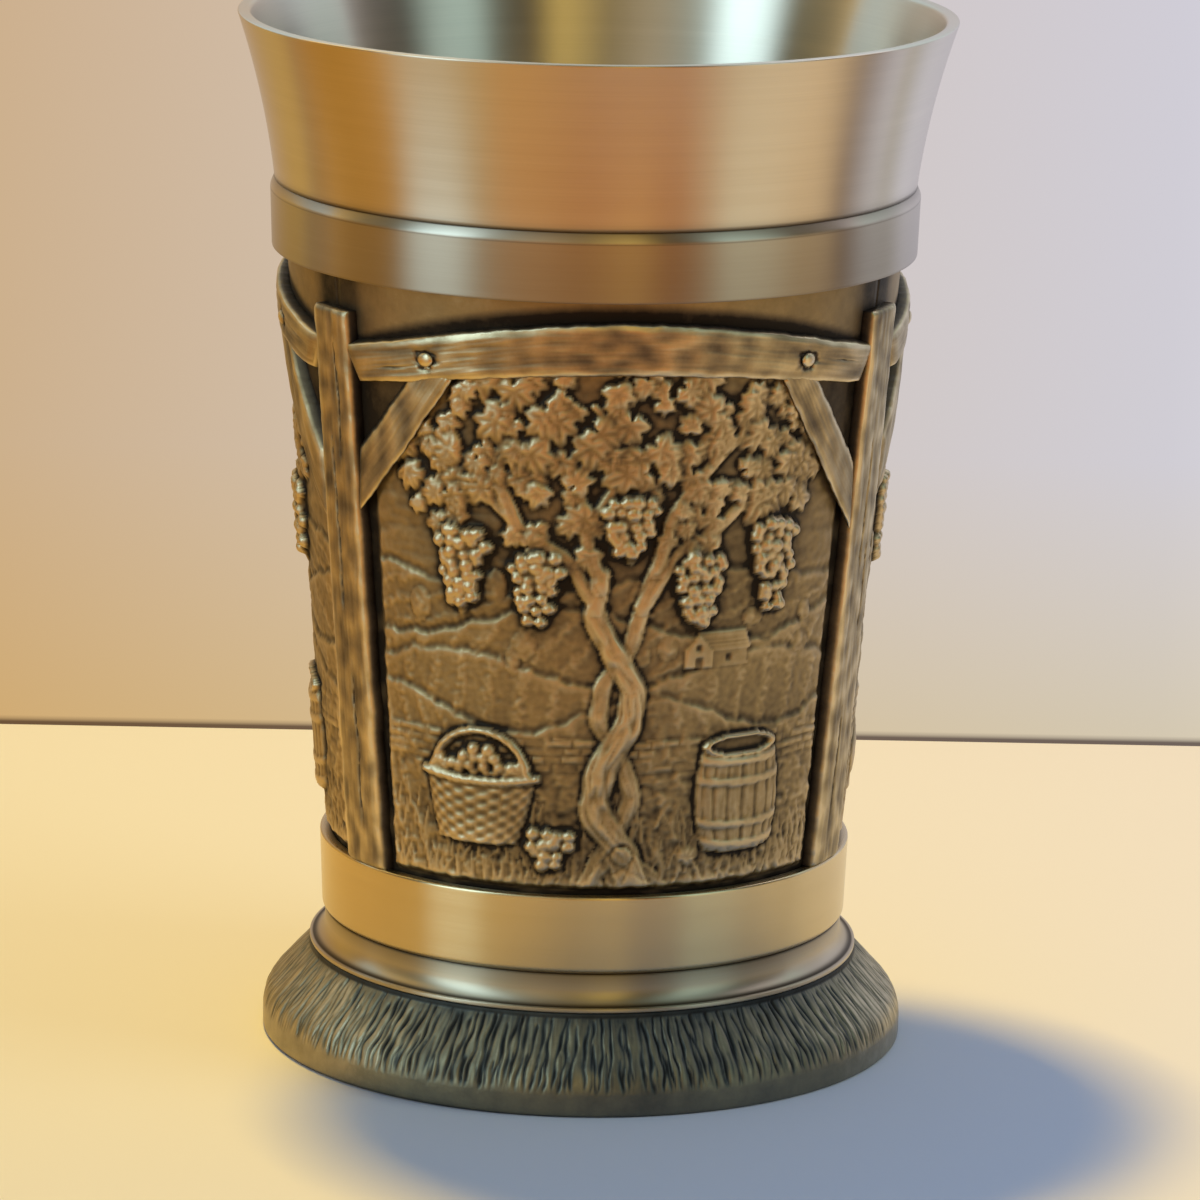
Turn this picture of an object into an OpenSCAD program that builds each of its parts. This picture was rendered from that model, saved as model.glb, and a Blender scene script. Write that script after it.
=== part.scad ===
// Pewter cup. A turned liner with a flared lip stands in a sleeve of three cast relief
// panels. Two smooth bands hold the panels, posts cover their seams, and a collar joins
// the body to a hollow flared foot that a plate closes from below.
// Millimetres, +Z up. The origin is on the table under the middle of the cup, and the
// middle of the first panel faces -Y.

/* [Cup] */
// Height from the table to the rim
cup_h = 104.9; // [90:0.1:125]
// Diameter across the rim
rim_d = 72; // [60:0.1:86]

/* [Lip and liner] */
// Height of the flared lip above the upper band
lip_h = 16.65; // [13:0.05:20]
// How far the rim stands out from the foot of the lip
lip_flare = 3.8; // [2.5:0.1:5]
// Radius of the lip's hollow outer curve, seen from the side
lip_curve_r = 85; // [50:1:150]
// How far the foot of the lip is set in from the edge of the upper band
lip_step = 0.4; // [0.2:0.05:0.8]
// Wall of the lip at the rim
rim_wall = 1.3; // [1:0.1:1.8]
// Chamfer on both edges of the rim
rim_chamfer = 0.3; // [0.1:0.05:0.4]
// Height over which the bore opens out to the rim
mouth_h = 27; // [21:1:40]
// Wall of the liner inside the panels
liner_wall = 1; // [0.7:0.1:1.4]
// Thickness of the liner's floor
floor_t = 1.5; // [1:0.1:2.5]
// Chamfer between the liner's floor and its wall
floor_chamfer = 3; // [1:0.5:6]

/* [Relief sleeve] */
// How much the radius of the relief field shrinks from the upper band to the lower one
sleeve_taper = 5.1; // [2:0.1:7]
// Thickness of the cast panels
panel_wall = 1.2; // [0.8:0.1:1.6]
// Film of solder between neighbouring pieces
solder_gap = 0.05; // [0.02:0.01:0.1]

/* [Bands] */
// Height of the upper band with its chamfered top
upper_band_h = 6.9; // [5:0.1:9]
// Height of the chamfer at the top of the upper band
upper_chamfer_h = 0.95; // [0.5:0.05:1.5]
// How far the upper band stands out from the field at its lower edge
upper_band_proud = 1.5; // [1.1:0.05:2]
// How much the upper band widens from its lower edge to its upper one
upper_band_spread = 0.2; // [0:0.05:0.6]
// Height of the lower band
lower_band_h = 8; // [6:0.1:10]
// How far the lower band stands out from the field at its upper edge
lower_band_proud = 1.25; // [1:0.05:1.6]
// How much the lower band narrows from its upper edge to its lower one
lower_band_taper = 0.3; // [0:0.05:0.6]
// Chamfer under the lower band
lower_chamfer = 0.35; // [0.1:0.05:0.5]

/* [Timber frame] */
// How far the timbers stand out from the relief field
timber_proud = 1.4; // [0.8:0.1:2]
// How deep the roots of the timbers and of the pictures run into the panel
cast_root = 0.6; // [0.3:0.1:0.7]
// Width of a post at its top
post_top_w = 5.8; // [4:0.1:8]
// Width of a post at its foot
post_bottom_w = 6.6; // [4:0.1:8]
// Bare wall between a post's top and the upper band
post_drop = 3.35; // [1:0.05:6]
// Groove between a post and the ends of the beams
post_groove = 1.1; // [0.5:0.1:2]
// Bare wall between the middle of the beam and the upper band
beam_drop = 2.05; // [1:0.05:5]
// Depth of the beam at its middle
beam_mid_h = 5.2; // [4:0.1:7]
// Depth of the beam at its ends
beam_end_h = 3.9; // [3:0.1:5]
// How much higher the beam's top is in the middle than at the ends
beam_rise = 4.4; // [2.5:0.1:6]
// Width of a brace
brace_w = 3.2; // [2:0.1:4.5]
// Lean of a brace from upright, in degrees
brace_lean = 26; // [22:1:30]
// Distance from a beam's end to the middle of the brace under it, straight across
brace_inset = 7.8; // [6:0.1:10]
// Diameter of a peg
peg_d = 1.8; // [1.2:0.1:2.6]
// How far a peg stands out from the beam
peg_proud = 0.45; // [0.2:0.05:0.6]
// Distance from a beam's end to the peg near it, straight across
peg_inset = 6.6; // [3:0.1:10]

/* [Pictures] */
// How far the shallow forms of a picture stand out from the relief field
relief_low = 0.5; // [0.3:0.05:0.7]
// How far its bold forms stand out from the relief field
relief_high = 1.1; // [0.8:0.05:1.3]
// How far a bold form is set in from the edge of the shallow one under it
relief_step = 0.45; // [0.2:0.05:0.6]
// Width of the vine's trunk at the ground
trunk_w = 3.6; // [2.6:0.1:5]
// Width of the vine's trunk where it forks
fork_w = 2.2; // [1.6:0.1:3]
// Width of an arm of the vine where it leaves the trunk
arm_w = 1.8; // [1.2:0.1:2.4]
// Width of the tip of an arm or a shoot
tip_w = 0.8; // [0.5:0.1:1.1]
// Width of a clump of leaves
leaves_w = 7; // [5:0.1:9]
// Width of a bunch of grapes
bunch_w = 7.2; // [5:0.1:9]
// Height of the basket up to its rim
basket_h = 6.6; // [5:0.1:8]
// Width of the basket's bottom
basket_bottom_w = 8.4; // [7:0.1:10]
// Width of the basket's rim
basket_top_w = 11.6; // [9:0.1:13]
// Height of the grapes heaped over the basket's rim
basket_heap_h = 3.4; // [2:0.1:4]
// Radius of the basket's handle
basket_handle_r = 5.3; // [4.8:0.1:5.8]
// Width of the handles of the basket and the jug
handle_w = 0.9; // [0.5:0.1:1.3]
// Height of the cask
cask_h = 10.5; // [8:0.1:12]
// Width of the cask at its ends
cask_end_w = 8.2; // [6:0.1:9]
// Width of the cask at its middle
cask_mid_w = 9.8; // [8:0.1:11]
// Height of the jug
jug_h = 10.5; // [8:0.1:12]
// Width of the jug's foot
jug_foot_w = 5; // [4:0.1:6]
// Width of the jug's belly
jug_belly_w = 8; // [6.5:0.1:9]
// Width of the jug's neck
jug_neck_w = 3.8; // [3:0.1:5]
// Width of the jug's lip
jug_lip_w = 5.2; // [4:0.1:6]
// Radius of the jug's handle
jug_handle_r = 2.7; // [2:0.1:3]
// Width of the cottage
cottage_w = 7.3; // [5:0.1:9]
// Height of the cottage
cottage_h = 3.7; // [2.5:0.1:5]

/* [Foot] */
// How far the foot's edge stands out from its top
foot_spread = 4.75; // [4:0.05:7]
// Height of the foot up to the collar
foot_h = 9.3; // [8.5:0.1:12]
// Height of the upright edge at the top of the foot
foot_top_edge_h = 0.4; // [0.2:0.1:0.8]
// Height of the smooth upright edge at the bottom of the foot
foot_edge_h = 2.2; // [1.5:0.1:2.8]
// Radius of the shoulder between the slope and the bottom edge
shoulder_r = 4; // [2:0.1:5]
// Chamfer at the very bottom of the foot
foot_chamfer = 0.25; // [0.1:0.05:0.5]
// Thickness of the foot's top plate
foot_plate_t = 1.6; // [1:0.1:2.2]
// Width of the foot's top plate, from its edge in to its bore
foot_plate_w = 6; // [4.5:0.1:10]
// Wall of the foot at the top of its slope, measured level
foot_wall = 1.9; // [1.4:0.1:2.4]
// Height of the collar between the foot and the lower band
collar_h = 3.6; // [3:0.1:5]
// How far the collar's neck is set in from the lower band
collar_inset = 0.3; // [0.1:0.05:0.6]
// Radius of the cove between the collar's neck and its bead
cove_r = 1.55; // [1:0.05:2]
// Height of the bead round the collar's bottom
bead_h = 0.45; // [0.2:0.05:0.8]
// Thickness of the collar's flange under the liner
collar_flange_t = 2.1; // [1.2:0.1:2.4]
// Width of the collar's flange under the liner's edge
collar_flange_w = 3.75; // [2:0.05:8]
// Width of the ring that the cup stands on
foot_ring_w = 2.2; // [1.6:0.1:3]
// Thickness of the base plate
base_plate_t = 1.2; // [0.8:0.1:1.6]
// How far the base plate is set up inside the foot
base_recess = 2; // [1:0.1:2.4]
// Width of the ledge that the base plate is soldered to
base_ledge = 0.7; // [0.4:0.1:1]

/* [Hidden] */

// Colours of the turned pewter and of the cast pewter with its dark patina
turned_pewter = [0.70, 0.62, 0.52];
cast_pewter = [0.42, 0.37, 0.31];
foot_pewter = [0.38, 0.38, 0.34];

// Number of panels and of posts, and of straight steps along a round stretch
panel_count = 3;
arc_steps = 12;
$fn = 96;

// Heights of the levels where the pieces meet, from the table up
collar_top_z = foot_h + collar_h;
lower_top_z = collar_top_z + lower_band_h;
lip_z = cup_h - lip_h;
upper_bottom_z = lip_z - upper_band_h;
liner_bottom_z = foot_h + collar_flange_t;
floor_z = liner_bottom_z + floor_t;
base_seat_z = base_recess + base_plate_t;

// Radii from the rim down: the lip's foot, the upper band's edge and the relief field
lip_foot = [rim_d / 2 - lip_flare, lip_z];
upper_edge_r = lip_foot.x + lip_step;
field_top_r = upper_edge_r - upper_band_spread - upper_band_proud;
field_bottom_r = field_top_r - sleeve_taper;
lower_edge_r = field_bottom_r + lower_band_proud - lower_band_taper;
neck_r = lower_edge_r - collar_inset;
foot_top_r = neck_r + cove_r;
foot_r = foot_top_r + foot_spread;
seat_r = foot_r - foot_ring_w;

// Radii of the straight taper that the panels, the liner and the bands' bores share
field_slope = sleeve_taper / (upper_bottom_z - lower_top_z);
function field_r(z) = field_bottom_r + (z - lower_top_z) * field_slope;
function panel_back_r(z) = field_r(z) - panel_wall;
function liner_r(z) = panel_back_r(z) - solder_gap;
function bore_r(z) = liner_r(z) - liner_wall;
function band_bore_r(z) = field_r(z) + solder_gap;
function timber_r(z) = field_r(z) + timber_proud;

// Points along a round stretch of an outline, and the centre on the right of the way
// from p to q of the circle with radius r through both
function arc(centre, r, from, to) =
    [for (i = [0 : arc_steps]) let (a = from + (to - from) * i / arc_steps)
        centre + r * [cos(a), sin(a)]];
function right_centre(p, q, r) =
    let (d = q - p, side = [d.y, -d.x] / norm(d))
        (p + q) / 2 + side * sqrt(r * r - d * d / 4);
function angle_from(centre, p) = atan2(p.y - centre.y, p.x - centre.x);

// Lip, from its foot on the upper band to the rim, inside and out
lip_rim = [rim_d / 2, cup_h - rim_chamfer];
lip_centre = right_centre(lip_foot, lip_rim, lip_curve_r);
mouth_z = cup_h - mouth_h;
mouth_foot = [bore_r(mouth_z), mouth_z];
mouth_rim = [rim_d / 2 - rim_wall, cup_h - rim_chamfer];
mouth_normal = [1, -field_slope] / norm([1, field_slope]);
mouth_chord = mouth_rim - mouth_foot;
mouth_curve_r = mouth_chord * mouth_chord / (2 * mouth_chord * mouth_normal);
mouth_centre = mouth_foot + mouth_normal * mouth_curve_r;

// Angles taken up by a panel and by the beam between two posts
pitch_angle = 360 / panel_count;
panel_angle = pitch_angle - 2 * asin(solder_gap / 2 / field_bottom_r);
beam_end_r = timber_r(upper_bottom_z - beam_drop - beam_rise);
beam_angle = pitch_angle - 2 * asin((post_top_w / 2 + post_groove) / beam_end_r);

// Beam: its top and bottom edges are circles seen from in front
beam_half_w = beam_end_r * sin(beam_angle / 2);
beam_top_z = upper_bottom_z - beam_drop;
beam_bottom_z = beam_top_z - beam_mid_h;
beam_bottom_rise = beam_rise + beam_end_h - beam_mid_h;
function bow_r(rise) = (beam_half_w * beam_half_w + rise * rise) / (2 * rise);
function bow_z(x, top, rise) = top - bow_r(rise) + sqrt(bow_r(rise) * bow_r(rise) - x * x);
peg_x = beam_half_w - peg_inset;
peg_z = (bow_z(peg_x, beam_top_z, beam_rise)
         + bow_z(peg_x, beam_bottom_z, beam_bottom_rise)) / 2;
peg_angle = asin(peg_x / timber_r(peg_z));
brace_end_z = beam_bottom_z - beam_half_w / tan(brace_lean);
post_top_z = upper_bottom_z - post_drop;

// Places in a picture, as shares: across, of the way from its middle to the beam's end, and
// up, of the way from the lower band to the middle of the beam. A bunch has its length too.
picture_h = beam_bottom_z - lower_top_z;
trunk_shares = [[0.10, 0.02], [0.04, 0.09], [-0.07, 0.17], [-0.04, 0.25], [0.06, 0.33],
                [0.08, 0.40], [0, 0.47], [-0.08, 0.54], [-0.06, 0.62]];
second_shares = [[-0.09, 0.02], [0.01, 0.11], [0.09, 0.19], [0.03, 0.27], [-0.06, 0.34],
                 [-0.04, 0.41], [0.06, 0.48], [0.10, 0.56], [0.16, 0.65]];
arm_shares = [
    [[-0.07, 0.56], [-0.18, 0.65], [-0.34, 0.70], [-0.47, 0.76], [-0.63, 0.75], [-0.80, 0.80]],
    [[0.12, 0.59], [0.22, 0.66], [0.37, 0.70], [0.52, 0.77], [0.67, 0.76], [0.82, 0.81]],
    [[-0.06, 0.60], [-0.12, 0.70], [-0.02, 0.78], [0.05, 0.86], [-0.09, 0.94]],
    [[0.15, 0.63], [0.20, 0.73], [0.33, 0.82], [0.45, 0.88], [0.49, 0.95]],
    [[-0.37, 0.71], [-0.45, 0.81], [-0.39, 0.88], [-0.49, 0.95]]];
leaves_shares = [[-0.78, 0.85], [-0.69, 0.74], [-0.60, 0.86], [-0.45, 0.95], [-0.31, 0.80],
                 [-0.24, 0.96], [-0.11, 0.84], [0.03, 0.96], [0.15, 0.82], [0.29, 0.95],
                 [0.37, 0.77], [0.51, 0.86], [0.61, 0.95], [0.69, 0.78], [0.79, 0.86]];
bunch_shares = [[-0.57, 0.70, 0.17], [-0.29, 0.66, 0.14], [0.32, 0.66, 0.15], [0.62, 0.71, 0.18],
                [0.05, 0.77, 0.13]];
left_thing_share = [-0.54, 0.10];
right_thing_share = [0.55, 0.085];
cottage_share = [0.33, 0.435];
function place(share, flip = 1) =
    let (z = lower_top_z + share.y * picture_h)
        [flip * field_r(z) * sin(share.x * beam_angle / 2), z];

// Outlines as shares of a form's half width and height
bunch_outline_shares = [[-0.6, 0], [-1, -0.15], [-0.85, -0.5], [-0.4, -0.85], [0, -1],
                        [0.4, -0.85], [0.85, -0.5], [1, -0.15], [0.6, 0]];
cottage_outline_shares = [[-0.4, 0], [1.48, 0], [1.48, 0.5], [1.6, 0.5], [1.45, 1], [0.16, 1],
                          [0, 0.97], [-0.4, 0.5]];
jug_height_shares = [0, 0.07, 0.36, 0.68, 0.84, 1];
jug_widths = [jug_foot_w, jug_foot_w, jug_belly_w, jug_neck_w, jug_neck_w, jug_lip_w];
cask_steps = 8;

// Shoulder of the foot: the slope runs from its top edge and touches the shoulder's circle
foot_top = [foot_top_r, foot_h - foot_top_edge_h];
shoulder_centre = [foot_r - shoulder_r, foot_edge_h];
shoulder_way = shoulder_centre - foot_top;
slope_angle = atan2(shoulder_way.y, shoulder_way.x) + asin(shoulder_r / norm(shoulder_way));

// Turns an outline about the cup's axis through an angle whose middle faces -Y
module sector(angle) {
    rotate([0, 0, -90 - angle / 2])
        rotate_extrude(angle = angle)
            children();
}

module inner_cup() {
    color(turned_pewter)
        rotate_extrude()
            polygon(concat(
                [[0, liner_bottom_z],
                 [liner_r(liner_bottom_z), liner_bottom_z],
                 [liner_r(lip_z), lip_z]],
                arc(lip_centre, lip_curve_r,
                    angle_from(lip_centre, lip_foot), angle_from(lip_centre, lip_rim)),
                [[lip_rim.x - rim_chamfer, cup_h],
                 [mouth_rim.x + rim_chamfer, cup_h]],
                arc(mouth_centre, mouth_curve_r,
                    angle_from(mouth_centre, mouth_rim), angle_from(mouth_centre, mouth_foot)),
                [[bore_r(floor_z + floor_chamfer), floor_z + floor_chamfer],
                 [bore_r(floor_z) - floor_chamfer, floor_z],
                 [0, floor_z]]));
}

module upper_band() {
    color(turned_pewter)
        rotate_extrude()
            polygon([
                [band_bore_r(upper_bottom_z), upper_bottom_z],
                [field_top_r + upper_band_proud, upper_bottom_z],
                [upper_edge_r, lip_z - upper_chamfer_h],
                [lip_foot.x, lip_z],
                [band_bore_r(lip_z), lip_z]]);
}

module lower_band() {
    color(turned_pewter)
        rotate_extrude()
            polygon([
                [band_bore_r(lower_top_z), lower_top_z],
                [field_bottom_r + lower_band_proud, lower_top_z],
                [lower_edge_r, collar_top_z + lower_chamfer],
                [lower_edge_r - lower_chamfer, collar_top_z],
                [band_bore_r(collar_top_z), collar_top_z]]);
}

// Beam and braces of one panel, seen from in front, with the cup's axis at x = 0
module frame_outline() {
    intersection() {
        difference() {
            translate([0, beam_top_z - bow_r(beam_rise)])
                circle(bow_r(beam_rise));
            translate([0, beam_bottom_z - bow_r(beam_bottom_rise)])
                circle(bow_r(beam_bottom_rise));
        }
        translate([-rim_d / 2, brace_end_z])
            square([rim_d, beam_top_z - brace_end_z]);
    }
    for (side = [-1, 1])
        translate([side * (beam_half_w - brace_inset), beam_bottom_z - beam_bottom_rise / 2])
            rotate(side * brace_lean)
                translate([-brace_w / 2, brace_end_z - beam_bottom_z])
                    square([brace_w, beam_bottom_z - brace_end_z + beam_end_h / 2]);
}

// Side of a limb at point i of its middle line p, as a unit vector
function side_way(p, i) =
    let (d = p[min(i + 1, len(p) - 1)] - p[max(i - 1, 0)])
        [-d.y, d.x] / norm(d);

// A trunk or branch of the vine that tapers from one width to another
module limb(shares, from_w, to_w, flip) {
    p = [for (share = shares) place(share, flip)];
    last = len(p) - 1;
    half = [for (i = [0 : last]) (from_w + (to_w - from_w) * i / last) / 2];
    polygon(concat(
        [for (i = [0 : last]) p[i] + side_way(p, i) * half[i]],
        [for (i = [last : -1 : 0]) p[i] - side_way(p, i) * half[i]]));
}

module bunch(share, flip, inset) {
    translate(place(share, flip))
        polygon([for (point = bunch_outline_shares)
            [point.x * (bunch_w / 2 - inset), point.y * (share.z * picture_h - inset)]]);
}

// Half a ring that stands on its two ends, or, turned, on its side
module handle(r) {
    polygon(concat(arc([0, 0], r, 0, 180), arc([0, 0], r - handle_w, 180, 0)));
}

module basket(inset) {
    polygon([
        [-basket_bottom_w / 2 + inset, 0],
        [basket_bottom_w / 2 - inset, 0],
        [basket_top_w / 2 - inset, basket_h],
        [0, basket_h + basket_heap_h - 2 * inset],
        [inset - basket_top_w / 2, basket_h]]);
    if (inset == 0)
        translate([0, basket_h])
            handle(basket_handle_r);
}

module cask(inset) {
    function half_w(h) = cask_end_w / 2 - inset + (cask_mid_w - cask_end_w) / 2 * (1 - h * h);
    function height(h) = (h + 1) / 2 * cask_h;
    polygon(concat(
        [for (i = [0 : cask_steps]) let (h = 2 * i / cask_steps - 1) [half_w(h), height(h)]],
        [for (i = [cask_steps : -1 : 0]) let (h = 2 * i / cask_steps - 1) [-half_w(h), height(h)]]));
}

module jug(inset) {
    last = len(jug_widths) - 1;
    polygon(concat(
        [for (i = [0 : last]) [jug_widths[i] / 2 - inset, jug_height_shares[i] * jug_h]],
        [for (i = [last : -1 : 0]) [inset - jug_widths[i] / 2, jug_height_shares[i] * jug_h]]));
    if (inset == 0)
        translate([(jug_neck_w - handle_w) / 2, jug_height_shares[3] * jug_h])
            rotate(-90)
                handle(jug_handle_r);
}

module thing(name, share, flip, inset) {
    translate(place(share, flip)) {
        if (name == "basket") basket(inset);
        if (name == "cask") cask(inset);
        if (name == "jug") jug(inset);
    }
}

// The forms of one picture, seen from in front: all of them where inset is nothing, and
// else the bold ones, set in by it
module picture(things, flip, inset) {
    limb(trunk_shares, trunk_w - 2 * inset, fork_w - 2 * inset, flip);
    limb(second_shares, fork_w - inset, arm_w - inset, flip);
    for (share = bunch_shares)
        bunch(share, flip, inset);
    thing(things[0], left_thing_share, flip, inset);
    thing(things[1], right_thing_share, flip, inset);
    if (inset == 0) {
        for (shares = arm_shares)
            limb(shares, arm_w, tip_w, flip);
        for (share = leaves_shares)
            translate(place(share, flip))
                circle(d = leaves_w, $fn = 8);
        translate(place(cottage_share, flip))
            polygon([for (point = cottage_outline_shares)
                [point.x * cottage_w / 2, point.y * cottage_h]]);
    }
}

// What lies behind a flat outline between the panel's root and proud over the field
module raised(proud) {
    intersection() {
        sector(beam_angle)
            polygon([
                [field_r(lower_top_z) - cast_root, lower_top_z],
                [field_r(lower_top_z) + proud, lower_top_z],
                [field_r(beam_top_z) + proud, beam_top_z],
                [field_r(beam_top_z) - cast_root, beam_top_z]]);
        rotate([90, 0, 0])
            linear_extrude(rim_d / 2)
                children();
    }
}

module relief_panel(number) {
    things = [["basket", "cask"], ["basket", "jug"], ["cask", "basket"]][number - 1];
    flip = number == 1 ? 1 : -1;
    color(cast_pewter)
        rotate([0, 0, (number - 1) * pitch_angle]) {
            raised(relief_low)
                picture(things, flip, 0);
            raised(relief_high)
                picture(things, flip, relief_step);
            sector(panel_angle)
                polygon([
                    [panel_back_r(collar_top_z), collar_top_z],
                    [field_r(collar_top_z), collar_top_z],
                    [field_r(lip_z), lip_z],
                    [panel_back_r(lip_z), lip_z]]);
            intersection() {
                sector(beam_angle)
                    polygon([
                        [field_r(brace_end_z) - cast_root, brace_end_z],
                        [timber_r(brace_end_z), brace_end_z],
                        [timber_r(upper_bottom_z), upper_bottom_z],
                        [field_r(upper_bottom_z) - cast_root, upper_bottom_z]]);
                rotate([90, 0, 0])
                    linear_extrude(rim_d / 2)
                        frame_outline();
            }
            for (side = [-1, 1])
                rotate([0, 0, side * peg_angle])
                    translate([0, -timber_r(peg_z) - peg_proud + peg_d / 2, peg_z])
                        sphere(d = peg_d);
        }
}

module frame_post(number) {
    color(cast_pewter)
        rotate([0, 0, (number - 0.5) * pitch_angle])
            intersection() {
                sector(pitch_angle)
                    polygon([
                        [band_bore_r(lower_top_z), lower_top_z],
                        [timber_r(lower_top_z), lower_top_z],
                        [timber_r(post_top_z), post_top_z],
                        [band_bore_r(post_top_z), post_top_z]]);
                rotate([90, 0, 0])
                    linear_extrude(rim_d / 2)
                        polygon([
                            [-post_bottom_w / 2, lower_top_z],
                            [post_bottom_w / 2, lower_top_z],
                            [post_top_w / 2, post_top_z],
                            [-post_top_w / 2, post_top_z]]);
            }
}

module foot_collar() {
    cove_z = foot_h + bead_h + cove_r;
    color(turned_pewter)
        rotate_extrude()
            polygon(concat(
                [[liner_r(liner_bottom_z) - collar_flange_w, foot_h],
                 [foot_top_r, foot_h]],
                arc([foot_top_r, cove_z], cove_r, 270, 180),
                [[neck_r, collar_top_z],
                 [liner_r(collar_top_z) + solder_gap, collar_top_z],
                 [liner_r(liner_bottom_z) + solder_gap, liner_bottom_z],
                 [liner_r(liner_bottom_z) - collar_flange_w, liner_bottom_z]]));
}

module foot_skirt() {
    color(foot_pewter)
        rotate_extrude()
            polygon(concat(
                [[foot_top_r - foot_plate_w, foot_h],
                 [foot_top_r, foot_h],
                 foot_top],
                arc(shoulder_centre, shoulder_r, slope_angle + 90, 0),
                [[foot_r, foot_chamfer],
                 [foot_r - foot_chamfer, 0],
                 [seat_r, 0],
                 [seat_r, base_seat_z],
                 [seat_r - base_ledge, base_seat_z],
                 [foot_top_r - foot_wall, foot_h - foot_plate_t],
                 [foot_top_r - foot_plate_w, foot_h - foot_plate_t]]));
}

module base_plate() {
    color(turned_pewter)
        translate([0, 0, base_recess])
            cylinder(r = seat_r - solder_gap, h = base_plate_t);
}

inner_cup();
upper_band();
relief_panel(1);  // relief_panel_1
relief_panel(2);  // relief_panel_2
relief_panel(3);  // relief_panel_3
frame_post(1);  // frame_post_1
frame_post(2);  // frame_post_2
frame_post(3);  // frame_post_3
lower_band();
foot_collar();
foot_skirt();
base_plate();
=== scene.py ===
import math

import bpy
import numpy as np
from mathutils import Matrix, Vector


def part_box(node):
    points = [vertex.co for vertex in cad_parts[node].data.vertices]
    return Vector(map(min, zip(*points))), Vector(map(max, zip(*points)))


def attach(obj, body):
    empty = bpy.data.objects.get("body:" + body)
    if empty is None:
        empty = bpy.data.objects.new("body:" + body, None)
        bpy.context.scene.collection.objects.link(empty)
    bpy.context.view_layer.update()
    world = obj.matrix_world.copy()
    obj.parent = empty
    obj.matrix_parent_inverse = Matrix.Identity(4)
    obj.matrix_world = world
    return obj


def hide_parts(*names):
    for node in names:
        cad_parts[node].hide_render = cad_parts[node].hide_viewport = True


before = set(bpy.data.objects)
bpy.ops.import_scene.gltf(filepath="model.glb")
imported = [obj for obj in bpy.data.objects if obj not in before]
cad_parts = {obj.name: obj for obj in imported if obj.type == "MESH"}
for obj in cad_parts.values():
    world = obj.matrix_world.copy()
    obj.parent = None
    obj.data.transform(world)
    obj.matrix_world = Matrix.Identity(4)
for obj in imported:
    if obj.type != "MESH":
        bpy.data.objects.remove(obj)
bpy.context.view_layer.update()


# Liner. One turned piece of pewter: the flared lip, the tapered wall that the sleeve
# hides, and the floor. The lathe and the polishing felt leave fine lines round it, and it
# is soldered into the sleeve and the foot.
mm = 0.001
rim_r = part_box("inner_cup")[1].x / mm
cup_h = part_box("inner_cup")[1].z / mm
liner_bottom_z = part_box("inner_cup")[0].z / mm
lip_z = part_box("upper_band")[1].z / mm
upper_bottom_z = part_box("upper_band")[0].z / mm
lower_top_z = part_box("lower_band")[1].z / mm
collar_top_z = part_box("lower_band")[0].z / mm
lip_flare = 3.8
lip_slope = 0.12
lip_steps = 40
rim_wall = 1.3
rim_round = 0.45
mouth_h = 27.0
liner_wall = 1.0
panel_wall = 1.2
solder_gap = 0.05
floor_t = 1.5
floor_fillet = 3.0
floor_fillet_top = 12.0
floor_flat_r = 8.0
field_top_r = 30.9
field_bottom_r = 25.8
field_slope = (field_top_r - field_bottom_r) / (upper_bottom_z - lower_top_z)


def field_r(z):
    """Radius of the plain relief field at height z: a straight taper between the bands."""
    return field_bottom_r + (z - lower_top_z) * field_slope


def bend(start, end, start_slope, steps):
    """Outline points (r, z) from start to end: r = r0 + slope (z - z0) + k (z - z0)^2,
    with k set so that the curve passes through end."""
    z = np.linspace(start[1], end[1], steps)
    rise = z - start[1]
    full = end[1] - start[1]
    k = (end[0] - start[0] - start_slope * full) / full ** 2
    return np.column_stack([start[0] + start_slope * rise + k * rise ** 2, z])


def eased(corners, radius, steps=5):
    """Replaces each inner corner P of an outline by the curve (1-t)^2 A + 2t(1-t) P + t^2 B,
    where A and B lie on its two sides, radius away or nearly half the side."""
    corners = np.asarray(corners, float)
    points = [corners[:1]]
    t = np.linspace(0, 1, steps)[:, None]
    for before, corner, after in zip(corners[:-2], corners[1:-1], corners[2:]):
        sides = [np.linalg.norm(before - corner), np.linalg.norm(after - corner)]
        reach = min(radius, 0.45 * sides[0], 0.45 * sides[1])
        a = corner + (before - corner) * reach / sides[0]
        b = corner + (after - corner) * reach / sides[1]
        points.append((1 - t) ** 2 * a + 2 * t * (1 - t) * corner + t ** 2 * b)
    points.append(corners[-1:])
    return np.concatenate(points)


def held(outline, long_side=0.8, inset=0.12):
    """The outline with a point inset from both ends of each side longer than long_side, so
    that smooth shading rounds the edges and leaves the long faces flat."""
    outline = np.asarray(outline, float)
    points = []
    for here, there in zip(outline, np.roll(outline, -1, axis=0)):
        points.append(here)
        side = np.linalg.norm(there - here)
        if side > long_side and not np.array_equal(here, outline[-1]):
            points += [here + (there - here) * share for share in (inset / side, 1 - inset / side)]
    return np.array(points)


def grid_faces(rows, columns, wrap_rows=False, wrap_columns=False):
    """Quads between neighbours of a rows by columns grid of points, numbered row by row."""
    i = np.arange(rows if wrap_rows else rows - 1)[:, None]
    j = np.arange(columns if wrap_columns else columns - 1)[None, :]
    i2, j2 = (i + 1) % rows, (j + 1) % columns
    corners = [i * columns + j, i * columns + j2, i2 * columns + j2, i2 * columns + j]
    return np.stack([c + 0 * (i + j) for c in corners], -1).reshape(-1, 4).tolist()


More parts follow.
